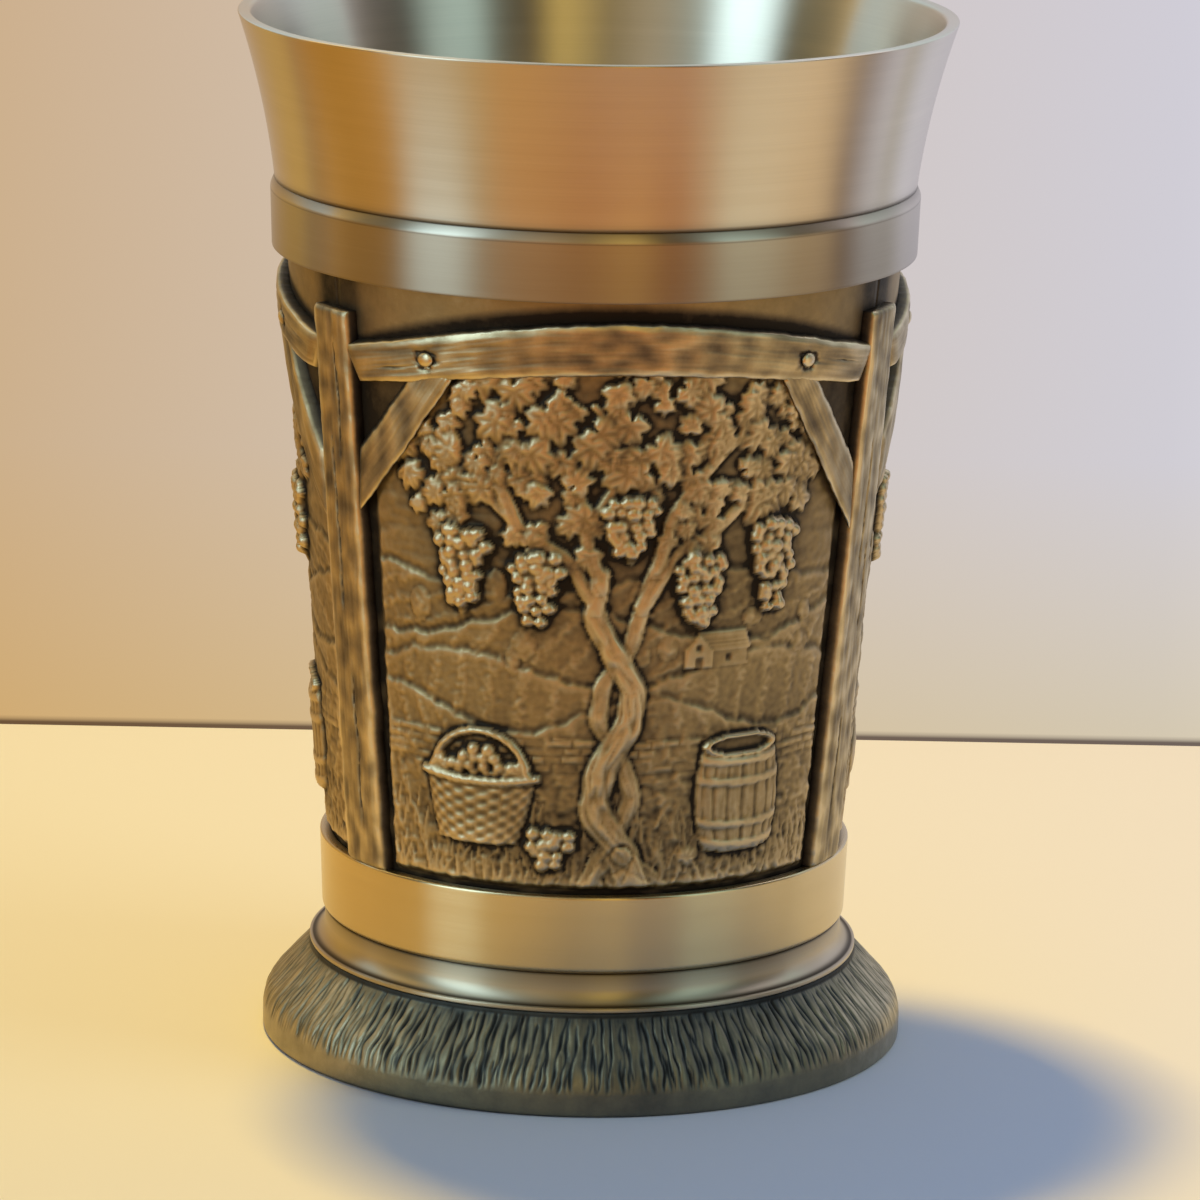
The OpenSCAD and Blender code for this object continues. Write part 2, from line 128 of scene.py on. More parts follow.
def piece(name, points, faces, material, slot, stands_for, **marks):
    mesh = bpy.data.meshes.new(name)
    mesh.from_pydata((np.asarray(points).reshape(-1, 3) * mm).tolist(), [], faces)
    for mark, values in marks.items():
        layer = mesh.attributes.new(mark, "FLOAT", "POINT")
        layer.data.foreach_set("value", np.asarray(values, np.float32).ravel())
    mesh.shade_smooth()
    mesh.materials.append(material)
    thing = bpy.data.objects.new(name, mesh)
    bpy.context.scene.collection.objects.link(thing)
    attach(thing, "root")
    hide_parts(stands_for)


def turned(name, outline, material, slot, stands_for, painted_shade_mark, around=288):
    """A piece of the lathe: x = r sin a, y = -r cos a, z for every outline point (r, z) and
    angle a. The outline runs anticlockwise; one that starts and ends on the axis gets a
    single point at each pole, and any other closes on itself."""
    outline = held(outline)
    on_axis = outline[0, 0] < 1e-6
    walls = outline[1:-1] if on_axis else outline
    a = np.linspace(0, 2 * np.pi, around, endpoint=False)
    r, z = walls[:, :1], walls[:, 1:]
    ring = np.stack([r * np.sin(a), -r * np.cos(a), z + 0 * a], -1).reshape(-1, 3)
    faces = grid_faces(len(walls), around, wrap_rows=not on_axis, wrap_columns=True)
    if on_axis:
        count = len(ring)
        ring = np.concatenate([ring, [[0, 0, outline[0, 1]], [0, 0, outline[-1, 1]]]])
        j = np.arange(around)
        j2 = (j + 1) % around
        faces += np.column_stack([j2, j, j * 0 + count]).tolist()
        last = count - around
        faces += np.column_stack([last + j, last + j2, j * 0 + count + 1]).tolist()
    dark = painted_shade_mark(np.hypot(ring[:, 0], ring[:, 1]), ring[:, 2])
    piece(name, ring, faces, material, slot, stands_for, hollow=dark)


def new_group(name, inputs, outputs):
    """A shader node group that takes and gives numbers: inputs are names with their usual
    values, outputs are names."""
    group = bpy.data.node_groups.new(name, "ShaderNodeTree")
    for label, value in inputs.items():
        socket = group.interface.new_socket(label, in_out="INPUT", socket_type="NodeSocketFloat")
        socket.default_value = value
    for label in outputs:
        group.interface.new_socket(label, in_out="OUTPUT", socket_type="NodeSocketFloat")
    return group, group.nodes.new("NodeGroupInput"), group.nodes.new("NodeGroupOutput")


def new_material(name):
    """A material with nodes: itself, its tree and its Principled shader."""
    material = bpy.data.materials.new(name)
    material.use_nodes = True
    return material, material.node_tree, material.node_tree.nodes["Principled BSDF"]


def sums(tree, operation, *values):
    """A Math node whose inputs are sockets or plain numbers, as its output socket."""
    node = tree.nodes.new("ShaderNodeMath")
    node.operation = operation
    for socket, value in zip(node.inputs, values):
        if isinstance(value, bpy.types.NodeSocket):
            tree.links.new(value, socket)
        else:
            socket.default_value = value
    return node.outputs[0]


def noise(tree, vector, scale, detail=3.0, rough=0.5):
    """A noise texture's value, from 0 to 1 round 0.5."""
    node = tree.nodes.new("ShaderNodeTexNoise")
    node.inputs["Scale"].default_value = scale
    node.inputs["Detail"].default_value = detail
    node.inputs["Roughness"].default_value = rough
    tree.links.new(vector, node.inputs["Vector"])
    return node.outputs[0]


def object_place(tree):
    """The point in the object's own coordinates, as a vector socket."""
    return tree.nodes.new("ShaderNodeTexCoord").outputs["Object"]


def taken_apart(tree, vector):
    """The x, y and z of a vector socket."""
    node = tree.nodes.new("ShaderNodeSeparateXYZ")
    tree.links.new(vector, node.inputs[0])
    return node.outputs


def mixed(tree, factor, first, second):
    """A Mix node of two colours: the first where factor is 0 and the second where it is 1."""
    node = tree.nodes.new("ShaderNodeMix")
    node.data_type = "RGBA"
    tree.links.new(factor, node.inputs["Factor"])
    for socket, value in ((node.inputs[6], first), (node.inputs[7], second)):
        if isinstance(value, bpy.types.NodeSocket):
            tree.links.new(value, socket)
        else:
            socket.default_value = (*value, 1.0)
    return node.outputs[2]


def bumped(tree, shader, height, strength, distance):
    """Stands height, up to distance in millimetres, in the shader's normal."""
    bump = tree.nodes.new("ShaderNodeBump")
    bump.inputs["Strength"].default_value = strength
    bump.inputs["Distance"].default_value = distance * mm
    tree.links.new(height, bump.inputs["Height"])
    tree.links.new(bump.outputs[0], shader.inputs["Normal"])


def ramp(tree, value, stops):
    """A colour ramp with (place, colour) stops."""
    node = tree.nodes.new("ShaderNodeValToRGB")
    while len(node.color_ramp.elements) < len(stops):
        node.color_ramp.elements.new(0.5)
    for element, (place, colour) in zip(node.color_ramp.elements, stops):
        element.position = place
        element.color = (*colour, 1.0)
    tree.links.new(value, node.inputs[0])
    return node.outputs[0]


# Fine lines round the axis: noise on (cos a, sin a) times Waver and on r + z times Lines
lathe_lines, lathe_in, lathe_out = new_group(
    "lathe_lines", {"Lines": 5200.0, "Waver": 1.6}, ("Height", "Tone"))
x, y, z = taken_apart(lathe_lines, object_place(lathe_lines))
off_axis = sums(lathe_lines, "SQRT", sums(
    lathe_lines, "ADD", sums(lathe_lines, "MULTIPLY", x, x), sums(lathe_lines, "MULTIPLY", y, y)))
together = lathe_lines.nodes.new("ShaderNodeCombineXYZ")
for side, socket in ((x, together.inputs[0]), (y, together.inputs[1])):
    way_round = sums(lathe_lines, "DIVIDE", side, off_axis)
    lathe_lines.links.new(
        sums(lathe_lines, "MULTIPLY", way_round, lathe_in.outputs["Waver"]), socket)
lathe_lines.links.new(
    sums(lathe_lines, "MULTIPLY", sums(lathe_lines, "ADD", off_axis, z),
         lathe_in.outputs["Lines"]), together.inputs[2])
fine_line = noise(lathe_lines, together.outputs[0], 1.0, 4.0, 0.6)
broad_line = noise(lathe_lines, together.outputs[0], 0.13, 2.0, 0.5)
lathe_lines.links.new(
    sums(lathe_lines, "MULTIPLY_ADD", broad_line, 0.6, fine_line), lathe_out.inputs["Height"])
lathe_lines.links.new(
    sums(lathe_lines, "MULTIPLY_ADD", broad_line, 0.5,
         sums(lathe_lines, "MULTIPLY", fine_line, 0.5)), lathe_out.inputs["Tone"])


def turned_pewter(name, bright, dark, roughness=0.30):
    """Satin pewter off the lathe, which stretches its gloss across the lathe lines. They
    tint the metal, vary its roughness and stand in its bump, and painted shade in its
    steps and grooves, from the mark hollow, darkens it."""
    material, tree, shader = new_material(name)
    lines = tree.nodes.new("ShaderNodeGroup")
    lines.node_tree = lathe_lines
    painted_shade_mark = tree.nodes.new("ShaderNodeAttribute")
    painted_shade_mark.attribute_name = "hollow"
    cloud = noise(tree, object_place(tree), 55.0, 3.0, 0.6)
    tone = sums(tree, "MULTIPLY_ADD", lines.outputs["Tone"], 0.7,
                sums(tree, "MULTIPLY", cloud, 0.3))
    clean = ramp(tree, tone, [(0.34, [0.88 * c for c in bright]), (0.66, bright)])
    tree.links.new(mixed(tree, painted_shade_mark.outputs["Fac"], clean, dark), shader.inputs["Base Color"])
    tree.links.new(
        sums(tree, "ADD",
             sums(tree, "MULTIPLY_ADD", tone, 0.12, roughness - 0.06),
             sums(tree, "MULTIPLY", painted_shade_mark.outputs["Fac"], 0.2)),
        shader.inputs["Roughness"])
    shader.inputs["Metallic"].default_value = 1.0
    shader.inputs["Anisotropic"].default_value = 0.95
    shader.inputs["Anisotropic Rotation"].default_value = 0.25
    round_axis = tree.nodes.new("ShaderNodeTangent")
    round_axis.direction_type = "RADIAL"
    round_axis.axis = "Z"
    tree.links.new(round_axis.outputs[0], shader.inputs["Tangent"])
    bumped(tree, shader, lines.outputs["Height"], 0.12, 0.05)
    return material


def bore_r(z):
    """Inner radius of the liner's straight wall."""
    return field_r(z) - panel_wall - solder_gap - liner_wall


def liner_r(z):
    """Outer radius of the liner's wall behind the panels."""
    return field_r(z) - panel_wall - solder_gap


lip_foot = [rim_r - lip_flare, lip_z]
lip_outer = bend(lip_foot, [rim_r, cup_h], lip_slope, lip_steps)[:-1]
mouth_z = cup_h - mouth_h
rim_inner = [rim_r - rim_wall, cup_h]
lip_inner = bend([bore_r(mouth_z), mouth_z], rim_inner, field_slope, lip_steps)[::-1][1:]
rim = eased([lip_outer[-1], [rim_r, cup_h], rim_inner, lip_inner[0]], rim_round, 7)
floor_z = liner_bottom_z + floor_t
bore_foot_z = floor_z + floor_fillet_top
floor_edge = eased([[bore_r(bore_foot_z), bore_foot_z], [bore_r(floor_z), floor_z],
                    [floor_flat_r, floor_z]], floor_fillet, 12)
liner_outline = np.concatenate([
    [[0, liner_bottom_z]],
    eased([[floor_flat_r, liner_bottom_z], [liner_r(liner_bottom_z), liner_bottom_z],
           [liner_r(lip_z), lip_z], lip_foot], 0.3),
    lip_outer[1:], rim[1:-1], lip_inner, floor_edge, [[0, floor_z]]])
liner_metal = turned_pewter("turned_pewter_liner", (0.62, 0.56, 0.48), (0.10, 0.075, 0.05))


def lip_painted_shade(r, z):
    """Painted shade: dark at the lip's foot, fading upwards, and a little in the corner of the
    floor.
    """
    outside = r > rim_r - lip_flare - 0.6
    foot = np.where(outside, np.exp(-np.maximum(z - lip_z, 0) / 0.25), 0)
    corner = 0.5 * np.exp(-np.maximum(z - floor_z, 0) / 3.0) * (r > bore_r(floor_z) - 5)
    return np.clip(foot + corner, 0, 1)


turned("liner", liner_outline, liner_metal, "turned_pewter", "inner_cup", lip_painted_shade, 360)


# Upper band. A smooth turned ring slid over the top edges of the panels, up against the
# lip. Its top is chamfered, and a thin line of painted shade lies where it meets the lip.
# The colour of the painted shade in the bands' steps and grooves
band_painted_shade = (0.08, 0.055, 0.035)
upper_band_proud = 1.5
upper_band_spread = 0.2
upper_chamfer_h = 0.95
upper_seam_z = 84.0
upper_edge_r = field_top_r + upper_band_proud + upper_band_spread
upper_band_metal = turned_pewter("turned_pewter_upper_band", (0.48, 0.425, 0.355), band_painted_shade)


def band_outline(seam_z, bottom_z, top_z, face, radius, steps):
    """A band's outline, which starts and ends at seam_z on the bore: down the bore, which
    fits the panels, out along the bottom, up the face, and back in along the top."""
    bore = [[field_r(z) + solder_gap, z] for z in (seam_z, bottom_z, top_z, seam_z + 0.2)]
    return eased(bore[:2] + face + bore[2:], radius, steps)


def upper_painted_shade(r, z):
    """Painted shade: dark thinly under the lip, below the chamfer and at the lower edge."""
    return np.clip(np.exp((z - lip_z) / 0.12)
                   + 0.45 * np.exp(-((z - lip_z + upper_chamfer_h + 0.16) / 0.10) ** 2)
                   + 0.6 * np.exp(-(z - upper_bottom_z) / 0.3), 0, 1)


upper_face = [[field_top_r + upper_band_proud, upper_bottom_z],
              [upper_edge_r, lip_z - upper_chamfer_h], lip_foot]
upper_outline = band_outline(upper_seam_z, upper_bottom_z, lip_z, upper_face, 0.15, 4)
widest = np.argmax(upper_outline[:, 0])
edge_middle = upper_outline[widest:widest + 2].sum(0) * 0.5
upper_outline = np.insert(upper_outline, widest + 1, edge_middle, axis=0)
turned("band_upper", upper_outline, upper_band_metal, "turned_pewter", "upper_band", upper_painted_shade)


# Lower band. A like turned ring soldered over the panels' bottom edges; it narrows a little
# downwards, and is rounded where it meets the collar of the foot.
lower_band_proud = 1.25
lower_band_taper = 0.3
lower_chamfer = 0.35
lower_seam_z = 17.0
lower_edge_r = field_bottom_r + lower_band_proud - lower_band_taper
# Its colour is painted more golden than the other turned pewter: a painted reflection of the
# warmly lit table. The base plate takes it too
lower_band_metal = turned_pewter("turned_pewter_lower_band", (0.61, 0.51, 0.32), band_painted_shade, 0.22)


def lower_painted_shade(r, z):
    """Painted shade: dark in the groove over the collar and on the ledge at the top edge."""
    return np.clip(np.exp(-(z - collar_top_z) / 0.25)
                   + 0.7 * np.exp((z - lower_top_z) / 0.12) * (r < lower_edge_r), 0, 1)


lower_face = [[lower_edge_r - lower_chamfer, collar_top_z],
              [lower_edge_r, collar_top_z + lower_chamfer],
              [field_bottom_r + lower_band_proud, lower_top_z]]
lower_outline = band_outline(lower_seam_z, collar_top_z, lower_top_z, lower_face, 0.25, 5)
turned("band_lower", lower_outline, lower_band_metal, "turned_pewter", "lower_band", lower_painted_shade)


# Relief panels. Three castings soldered round the liner, edge to edge, with their top and
# bottom edges in the bands. The picture on each is a vine before hills and a wall, with two
# of a basket, a cask and a jug at its foot; the field round it is bare and dark.
panel_angle = 120.0
panel_half = math.radians(panel_angle / 2) - solder_gap / 2 / field_bottom_r
fine_half = math.radians(54.6)
picture_half = math.radians(51.6)
gutter_half = math.radians(55.0)
timber_proud = 1.4
beam_half_angle = math.radians(52.76)
beam_top_z = upper_bottom_z - 2.05
beam_mid_h = 5.2
beam_bottom_z = beam_top_z - beam_mid_h
beam_axis_z, beam_curve, beam_top_curve = 76.9, 170, 152
brace_inset = 7.8
brace_w = 3.2
brace_lean = math.radians(27)
brace_foot_z = 58
picture_h = beam_bottom_z - lower_top_z
leaf_top_z = 75.4
wall_foot_z, wall_top_z = 33.6, 37.0
ground_z, turf_z = 36.5, 29.0
plain_pitch, plain_rise = 0.02, 2.5
fine_pitch, fine_rise = 0.0066, 0.186
hidden_low_z, hidden_high_z = 76.0, 79.2
hidden_rise, top_rise = 0.4, 0.2


def spread(*stretches):
    """Places along one side of a grid: (start, end, pitch) stretches joined end to end."""
    runs = [np.linspace(a, b, int(round((b - a) / pitch)), endpoint=False)
            for a, b, pitch in stretches]
    return np.concatenate(runs + [[stretches[-1][1]]])


# Columns are angles and rows are heights, fine where the picture is and coarse where the
# bands or the beam hide the field. across is the way round in millimetres, beam_line the
# beam's middle, and brace_side how far a place lies to a brace's outer side.
columns = spread((-panel_half, -fine_half, plain_pitch), (-fine_half, fine_half, fine_pitch),
                 (fine_half, panel_half, plain_pitch))
rows = spread((collar_top_z, lower_top_z - 0.5, plain_rise),
              (lower_top_z - 0.5, hidden_low_z, fine_rise),
              (hidden_low_z, hidden_high_z, hidden_rise),
              (hidden_high_z, upper_bottom_z + 0.3, top_rise),
              (upper_bottom_z + 0.3, lip_z, plain_rise))
across = columns[None, :] * field_r(rows)[:, None]
upward = rows[:, None] + 0 * across
beam_line = beam_axis_z - across ** 2 / beam_curve
brace_top = (field_r(beam_bottom_z) + timber_proud) * math.sin(beam_half_angle) - brace_inset
brace_side = ((field_r(upward) * np.sin(np.abs(columns)) - brace_top) * math.cos(brace_lean)
              + (upward - beam_bottom_z + 0.4) * math.sin(brace_lean))


def drift(u, v, seed):
    """Smooth gradient noise: random slopes at whole numbers of u and v, blended between
    them with 6t^5 - 15t^4 + 10t^3. It repeats every 512 and lies within -1 and 1."""
    turns = np.random.default_rng(seed).uniform(0, 2 * np.pi, (512, 512))
    iu, iv = np.floor(u).astype(int), np.floor(v).astype(int)
    fu, fv = u - iu, v - iv
    total = 0
    for du in (0, 1):
        for dv in (0, 1):
            turn = turns[(iu + du) % 512, (iv + dv) % 512]
            dot = np.cos(turn) * (fu - du) + np.sin(turn) * (fv - dv)
            wu = fu if du else 1 - fu
            wv = fv if dv else 1 - fv
            ease = [w ** 3 * (w * (6 * w - 15) + 10) for w in (wu, wv)]
            total = total + dot * ease[0] * ease[1]
    return 1.4 * total


def window(x, z, reach):
    """The rows and columns of the panel's grid within reach of the point (x, z)."""
    up = slice(*np.searchsorted(rows, [z - reach, z + reach]))
    middle = x / field_r(z)
    half = 1.1 * reach / field_r(z)
    return up, slice(*np.searchsorted(columns, [middle - half, middle + half]))


def stamp(relief, patch, edge, top, groove=0.12, groove_w=0.3):
    """Lays a motif on the relief: where edge, the distance in from its outline, is positive,
    the surface rises to top, and just outside it a groove sets the motif off."""
    part = relief[patch]
    ring = np.clip(1 + edge / groove_w, 0, 1) * (edge <= 0)
    part -= groove * ring
    np.copyto(part, np.maximum(part, top), where=edge > 0)


def stem(relief, points, widths, lift, bark, seed):
    """A round stem along points: at distance d from the line its top is
    lift + 0.42 w sqrt(1 - (d / w)^2), w easing from the first width to the last, with
    twisting creases of bark along it."""
    points = np.asarray(points, float)
    knots = np.linspace(0, 1, len(points))
    t = np.linspace(0, 1, 12 * len(points))
    line = np.column_stack([np.interp(t, knots, points[:, k]) for k in (0, 1)])
    for _ in range(6):
        line[1:-1] = (line[:-2] + 2 * line[1:-1] + line[2:]) / 4
    middle = (line.min(0) + line.max(0)) / 2
    patch = window(*middle, np.abs(line - middle).max() + max(widths) + 0.6)
    dx = across[patch][..., None] - line[:, 0]
    dz = upward[patch][..., None] - line[:, 1]
    far = np.hypot(dx, dz)
    nearest = far.argmin(-1)
    d = far.min(-1)
    dx, dz = (np.take_along_axis(part, nearest[..., None], -1)[..., 0] for part in (dx, dz))
    way = np.gradient(line, axis=0)[nearest]
    s = t[nearest] * np.hypot(*np.diff(line, axis=0).T).sum()
    w = widths[0] + (widths[-1] - widths[0]) * t[nearest]
    w = w * (1 + 0.16 * drift(s / 2.2, 0 * s + seed, seed))
    u = np.sign(dx * way[..., 1] - dz * way[..., 0]) * np.clip(d / w, 0, 1)
    crease = np.abs(drift(np.arcsin(u) * 1.9 + s * 0.13, s / 5.0, seed + 1))
    crease = 1 - np.clip(crease / 0.35, 0, 1)
    knots_on = drift(u * 1.4, s / 1.8, seed + 2)
    top = lift + 0.42 * np.minimum(w, 1.5) * np.sqrt(1 - np.clip(d / w, 0, 1) ** 2)
    stamp(relief, patch, w - d, top - bark * crease + 0.5 * bark * knots_on)


leaf_edge = ((0, 1.0), (13, 0.88), (27, 0.62), (38, 0.76), (47, 0.90), (58, 0.80), (74, 0.52),
             (92, 0.66), (106, 0.72), (128, 0.58), (150, 0.50), (166, 0.42), (176, 0.16),
             (180, 0.05))
leaf_veins = (-106, -47, 0, 47, 106)


def leaf(relief, x, z, size, turn, lift, lean=0.0, tip=0.0):
    """A vine leaf round the point where its stalk joins. At the angle phi from its middle
    vein it reaches size times leaf_edge: five lobes, and a notch at the stalk. It dips at
    the veins, swells between them and droops by 0.34 rho^2 towards its edge."""
    patch = window(x, z, 1.15 * size)
    dx, dz = across[patch] - x, upward[patch] - z
    u = (dx * math.cos(turn) + dz * math.sin(turn)) / size
    v = (dz * math.cos(turn) - dx * math.sin(turn)) / size
    rho, phi = np.hypot(u, v), np.arctan2(u, v)
    degrees, reach = np.transpose(leaf_edge)
    teeth = 0.05 * np.abs((phi * 22 / (2 * np.pi)) % 1 * 2 - 1)
    inward = np.interp(np.degrees(np.abs(phi)), degrees, reach) + teeth - rho
    vein = np.full(rho.shape, 1.0)
    for angle in np.radians(leaf_veins):
        out = u * math.sin(angle) + v * math.cos(angle)
        off = np.abs(u * math.cos(angle) - v * math.sin(angle))
        vein = np.where(out > 0, np.minimum(vein, off), vein)
    swell = (1 - np.exp(-(vein / 0.11) ** 2)) * np.clip(inward / 0.3, 0, 1)
    blade = 0.12 * np.sqrt(np.clip(inward / 0.25, 0, 1)) + 0.20 * swell
    top = lift + blade - 0.34 * rho ** 2 + lean * u + tip * v
    stamp(relief, patch, inward * size, top, 0.07, 0.35)


def berry(relief, x, z, size, lift):
    """One round berry: its top is lift + 0.75 sqrt(size^2 - d^2)."""
    patch = window(x, z, 1.6 * size)
    d = np.hypot(across[patch] - x, upward[patch] - z)
    top = lift + 0.75 * np.sqrt(np.clip(size ** 2 - d ** 2, 0, None))
    stamp(relief, patch, size - d, top, 0.04, 0.15)


bunch_half = 2.6
berry_row_h, berry_pitch = 1.02, 1.12


def bunch(relief, x, z, length, lift, seed):
    """A hanging bunch of grapes: a rounded body with a half width of 2.6 (1 - share)^0.6 down
    its length, with berries on it in rows, each shaken from its place, the middle last."""
    shake = np.random.default_rng(seed)
    patch = window(x, z - length / 2, length * 0.75 + 1)
    dx, share = across[patch] - x, (z - upward[patch]) / length
    half = bunch_half * np.clip(1 - share, 0, 1) ** 0.6 * np.clip(share / 0.12, 0, 1) ** 0.5
    core = np.sqrt(np.clip(1 - (dx / np.maximum(half, 0.01)) ** 2, 0, 1))
    stamp(relief, patch, np.where((share > 0) & (share < 1), half - np.abs(dx), -1),
          lift + 0.62 * core * np.clip(half / 2.0, 0, 1), 0.05, 0.6)
    places = []
    for row in range(int(length / berry_row_h)):
        share = (row + 0.5) * berry_row_h / length
        half = bunch_half * max(1 - share, 0.02) ** 0.6 * (0.7 if row == 0 else 1.0)
        for off in np.arange(-half, half + 0.1, berry_pitch):
            places.append((off + shake.uniform(-0.30, 0.30),
                           -row * berry_row_h - 0.6 + shake.uniform(-0.30, 0.30), half + 0.4))
    for off, drop, half in sorted(places, key=lambda place: -abs(place[0]) / place[2]):
        rise = 0.42 * (1 - (off / (half + 0.6)) ** 2) + shake.uniform(-0.10, 0.10)
        berry(relief, x + off, z + drop, shake.uniform(0.56, 0.80), lift + rise + 0.08)


def mound(relief, x, z, w, h, lift, rough, grain, seed):
    """A rounded lump: its top is lift sqrt(1 - (dx / w)^2 - (dz / h)^2), roughened by noise
    of pitch grain: a stone, a bush or the crown of a far tree."""
    patch = window(x, z, max(w, h) * 1.2)
    dx, dz = (across[patch] - x) / w, (upward[patch] - z) / h
    noise_on = drift(across[patch] / grain, upward[patch] / grain, seed)
    inward = 1 - np.hypot(dx, dz) + 0.22 * noise_on * min(1, rough * 9)
    top = 0.06 + lift * np.sqrt(np.clip(inward, 0, 1)) + rough * noise_on
    stamp(relief, patch, inward * min(w, h), top, 0.07, 0.25)


def cottage(relief, x, z):
    """A small gabled farmhouse: a front wall with a door and two windows under a pointed
    gable, and a long roof that runs off to the right with courses of tiles on it."""
    patch = window(x + 1.5, z + 2, 5)
    dx, dz = across[patch] - x, upward[patch] - z
    gable = np.minimum(1.5 - np.abs(dx), np.minimum(dz, 3.6 - 1.15 * np.abs(dx) - dz))
    wall = np.minimum(np.minimum(dx - 1.4, 5.4 - dx), np.minimum(dz, 2.0 - dz))
    roof = np.minimum(np.minimum(dx - 1.0 + 0.6 * (dz - 1.9), 5.8 - dx - 0.3 * (dz - 1.9)),
                      np.minimum(dz - 1.8, 3.7 - dz))
    stamp(relief, patch, wall, 0.24 + 0 * dx, 0.06, 0.2)
    stamp(relief, patch, roof, 0.34 + 0.05 * np.sin(dz * 14) - 0.03 * dz, 0.06, 0.2)
    stamp(relief, patch, gable, 0.36 + 0 * dx, 0.06, 0.2)
    for hole_x, hole_z, w, h in ((0, 0.55, 0.35, 0.6), (0, 2.2, 0.25, 0.3),
                                 (3.2, 1.0, 0.3, 0.3)):
        hole = np.maximum(np.abs(dx - hole_x) / w, np.abs(dz - hole_z) / h)
        relief[patch] -= 0.20 * np.clip((1.15 - hole) / 0.3, 0, 1)


course_h, stone_length = 0.85, 1.9


def stone_wall(relief, low, high, seed):
    """A dry stone wall right across the picture: courses of stones, each set at its own
    height, that round off over 0.2 mm at their edges."""
    wave = 0.35 * drift(across / 6.0, 0 * across, seed)
    level = (upward - low - wave) / course_h
    course = np.floor(level).astype(int)
    length = stone_length + 0.5 * drift(across / 5.0, course * 1.7, seed + 1)
    along = across / length + 0.37 * course
    stone = np.floor(along).astype(int)
    lifts = np.random.default_rng(seed + 2).uniform(0, 1, (128, 128))
    own = lifts[stone % 128, course % 128]
    edge = np.minimum((0.5 - np.abs(along - stone - 0.5)) * stone_length,
                      (0.5 - np.abs(level - course - 0.5)) * course_h)
    face = 0.22 + 0.16 * own + 0.05 * drift(across / 0.7, upward / 0.5, seed + 3)
    top = face - 0.30 * (1 - np.clip(edge / 0.2, 0, 1)) ** 2
    inside = np.minimum(upward - low - wave, high + wave + 0.3 * (own - 0.5) - upward)
    stamp(relief, (slice(None), slice(None)), inside, top, 0.06, 0.3)


def grass(relief, seed, blades=300):
    """Tufts along the bottom: short blades that lean and taper, thinner further up."""
    grow = np.random.default_rng(seed)
    for _ in range(blades):
        x = grow.uniform(-25, 25)
        z = lower_top_z + 0.4 + grow.uniform(0, 1) ** 1.8 * 7.5
        tall, lean = grow.uniform(1.4, 3.6), grow.normal(0, 0.30)
        patch = window(x + lean * tall / 2, z + tall / 2, tall * 0.75)
        up = (upward[patch] - z) / tall
        d = np.abs(across[patch] - x - lean * tall * np.clip(up, 0, 1) ** 1.5)
        w = grow.uniform(0.16, 0.30) * np.clip(1 - up, 0, 1) ** 0.6
        top = 0.20 + 0.16 * np.sqrt(np.clip(1 - (d / np.maximum(w, 0.01)) ** 2, 0, 1))
        stamp(relief, patch, np.where((up > 0) & (up < 1), w - d, -1), top, 0.04, 0.2)


def basket(relief, x, z):
    """A grape basket: a tapered body of rods woven over and under, grapes heaped in it, a
    round rim and an arched handle. x and z are the middle of its bottom."""
    tall, bottom, wide = 6.6, 4.2, 5.8
    patch = window(x, z + 6, 10)
    dx, dz = across[patch] - x, upward[patch] - z
    half = bottom + (wide - bottom) * np.clip(dz / tall, 0, 1) ** 0.8
    sag = 0.55 * (1 - np.clip(dx / wide, -1, 1) ** 2)
    ring = np.hypot(dx, (dz - tall) * 1.05)
    handle = np.where(dz > tall - 0.5, 0.45 - np.abs(ring - 4.85), -1)
    twist = np.sin(np.arctan2(dx, dz - tall) * 26 + ring * 5)
    stamp(relief, patch, handle, 0.45 + 0.7 * np.sqrt(np.clip(handle, 0, 1)) + 0.05 * twist)
    for row in range(4):
        for k in range(8 - 2 * row):
            berry(relief, x + (k - 3.5 + row) * 1.25 + 0.3 * math.sin(5 * k + row),
                  z + tall + 0.1 + row * 0.85, 0.72, 0.42)
    round_way = np.arcsin(np.clip(dx / half, -1, 1))
    weave = np.sin(np.pi * (dz + sag) / 0.60) * np.sin(np.pi * round_way / 0.24)
    inward = np.minimum(np.minimum(half - np.abs(dx), dz + sag), tall - dz)
    top = 0.32 + 0.62 * np.sqrt(np.clip(1 - (dx / half) ** 2, 0, 1)) + 0.12 * weave
    stamp(relief, patch, inward, top, 0.16, 0.35)
    rim = np.where(np.abs(dx) < wide + 0.3, 0.5 - np.abs(dz - tall + sag), -1)
    top = 0.80 + 0.55 * np.sqrt(np.clip(rim, 0, 1)) + 0.06 * np.sin(np.pi * (dx + dz) / 0.45)
    stamp(relief, patch, rim, top - 0.10 * (dx / wide) ** 2)


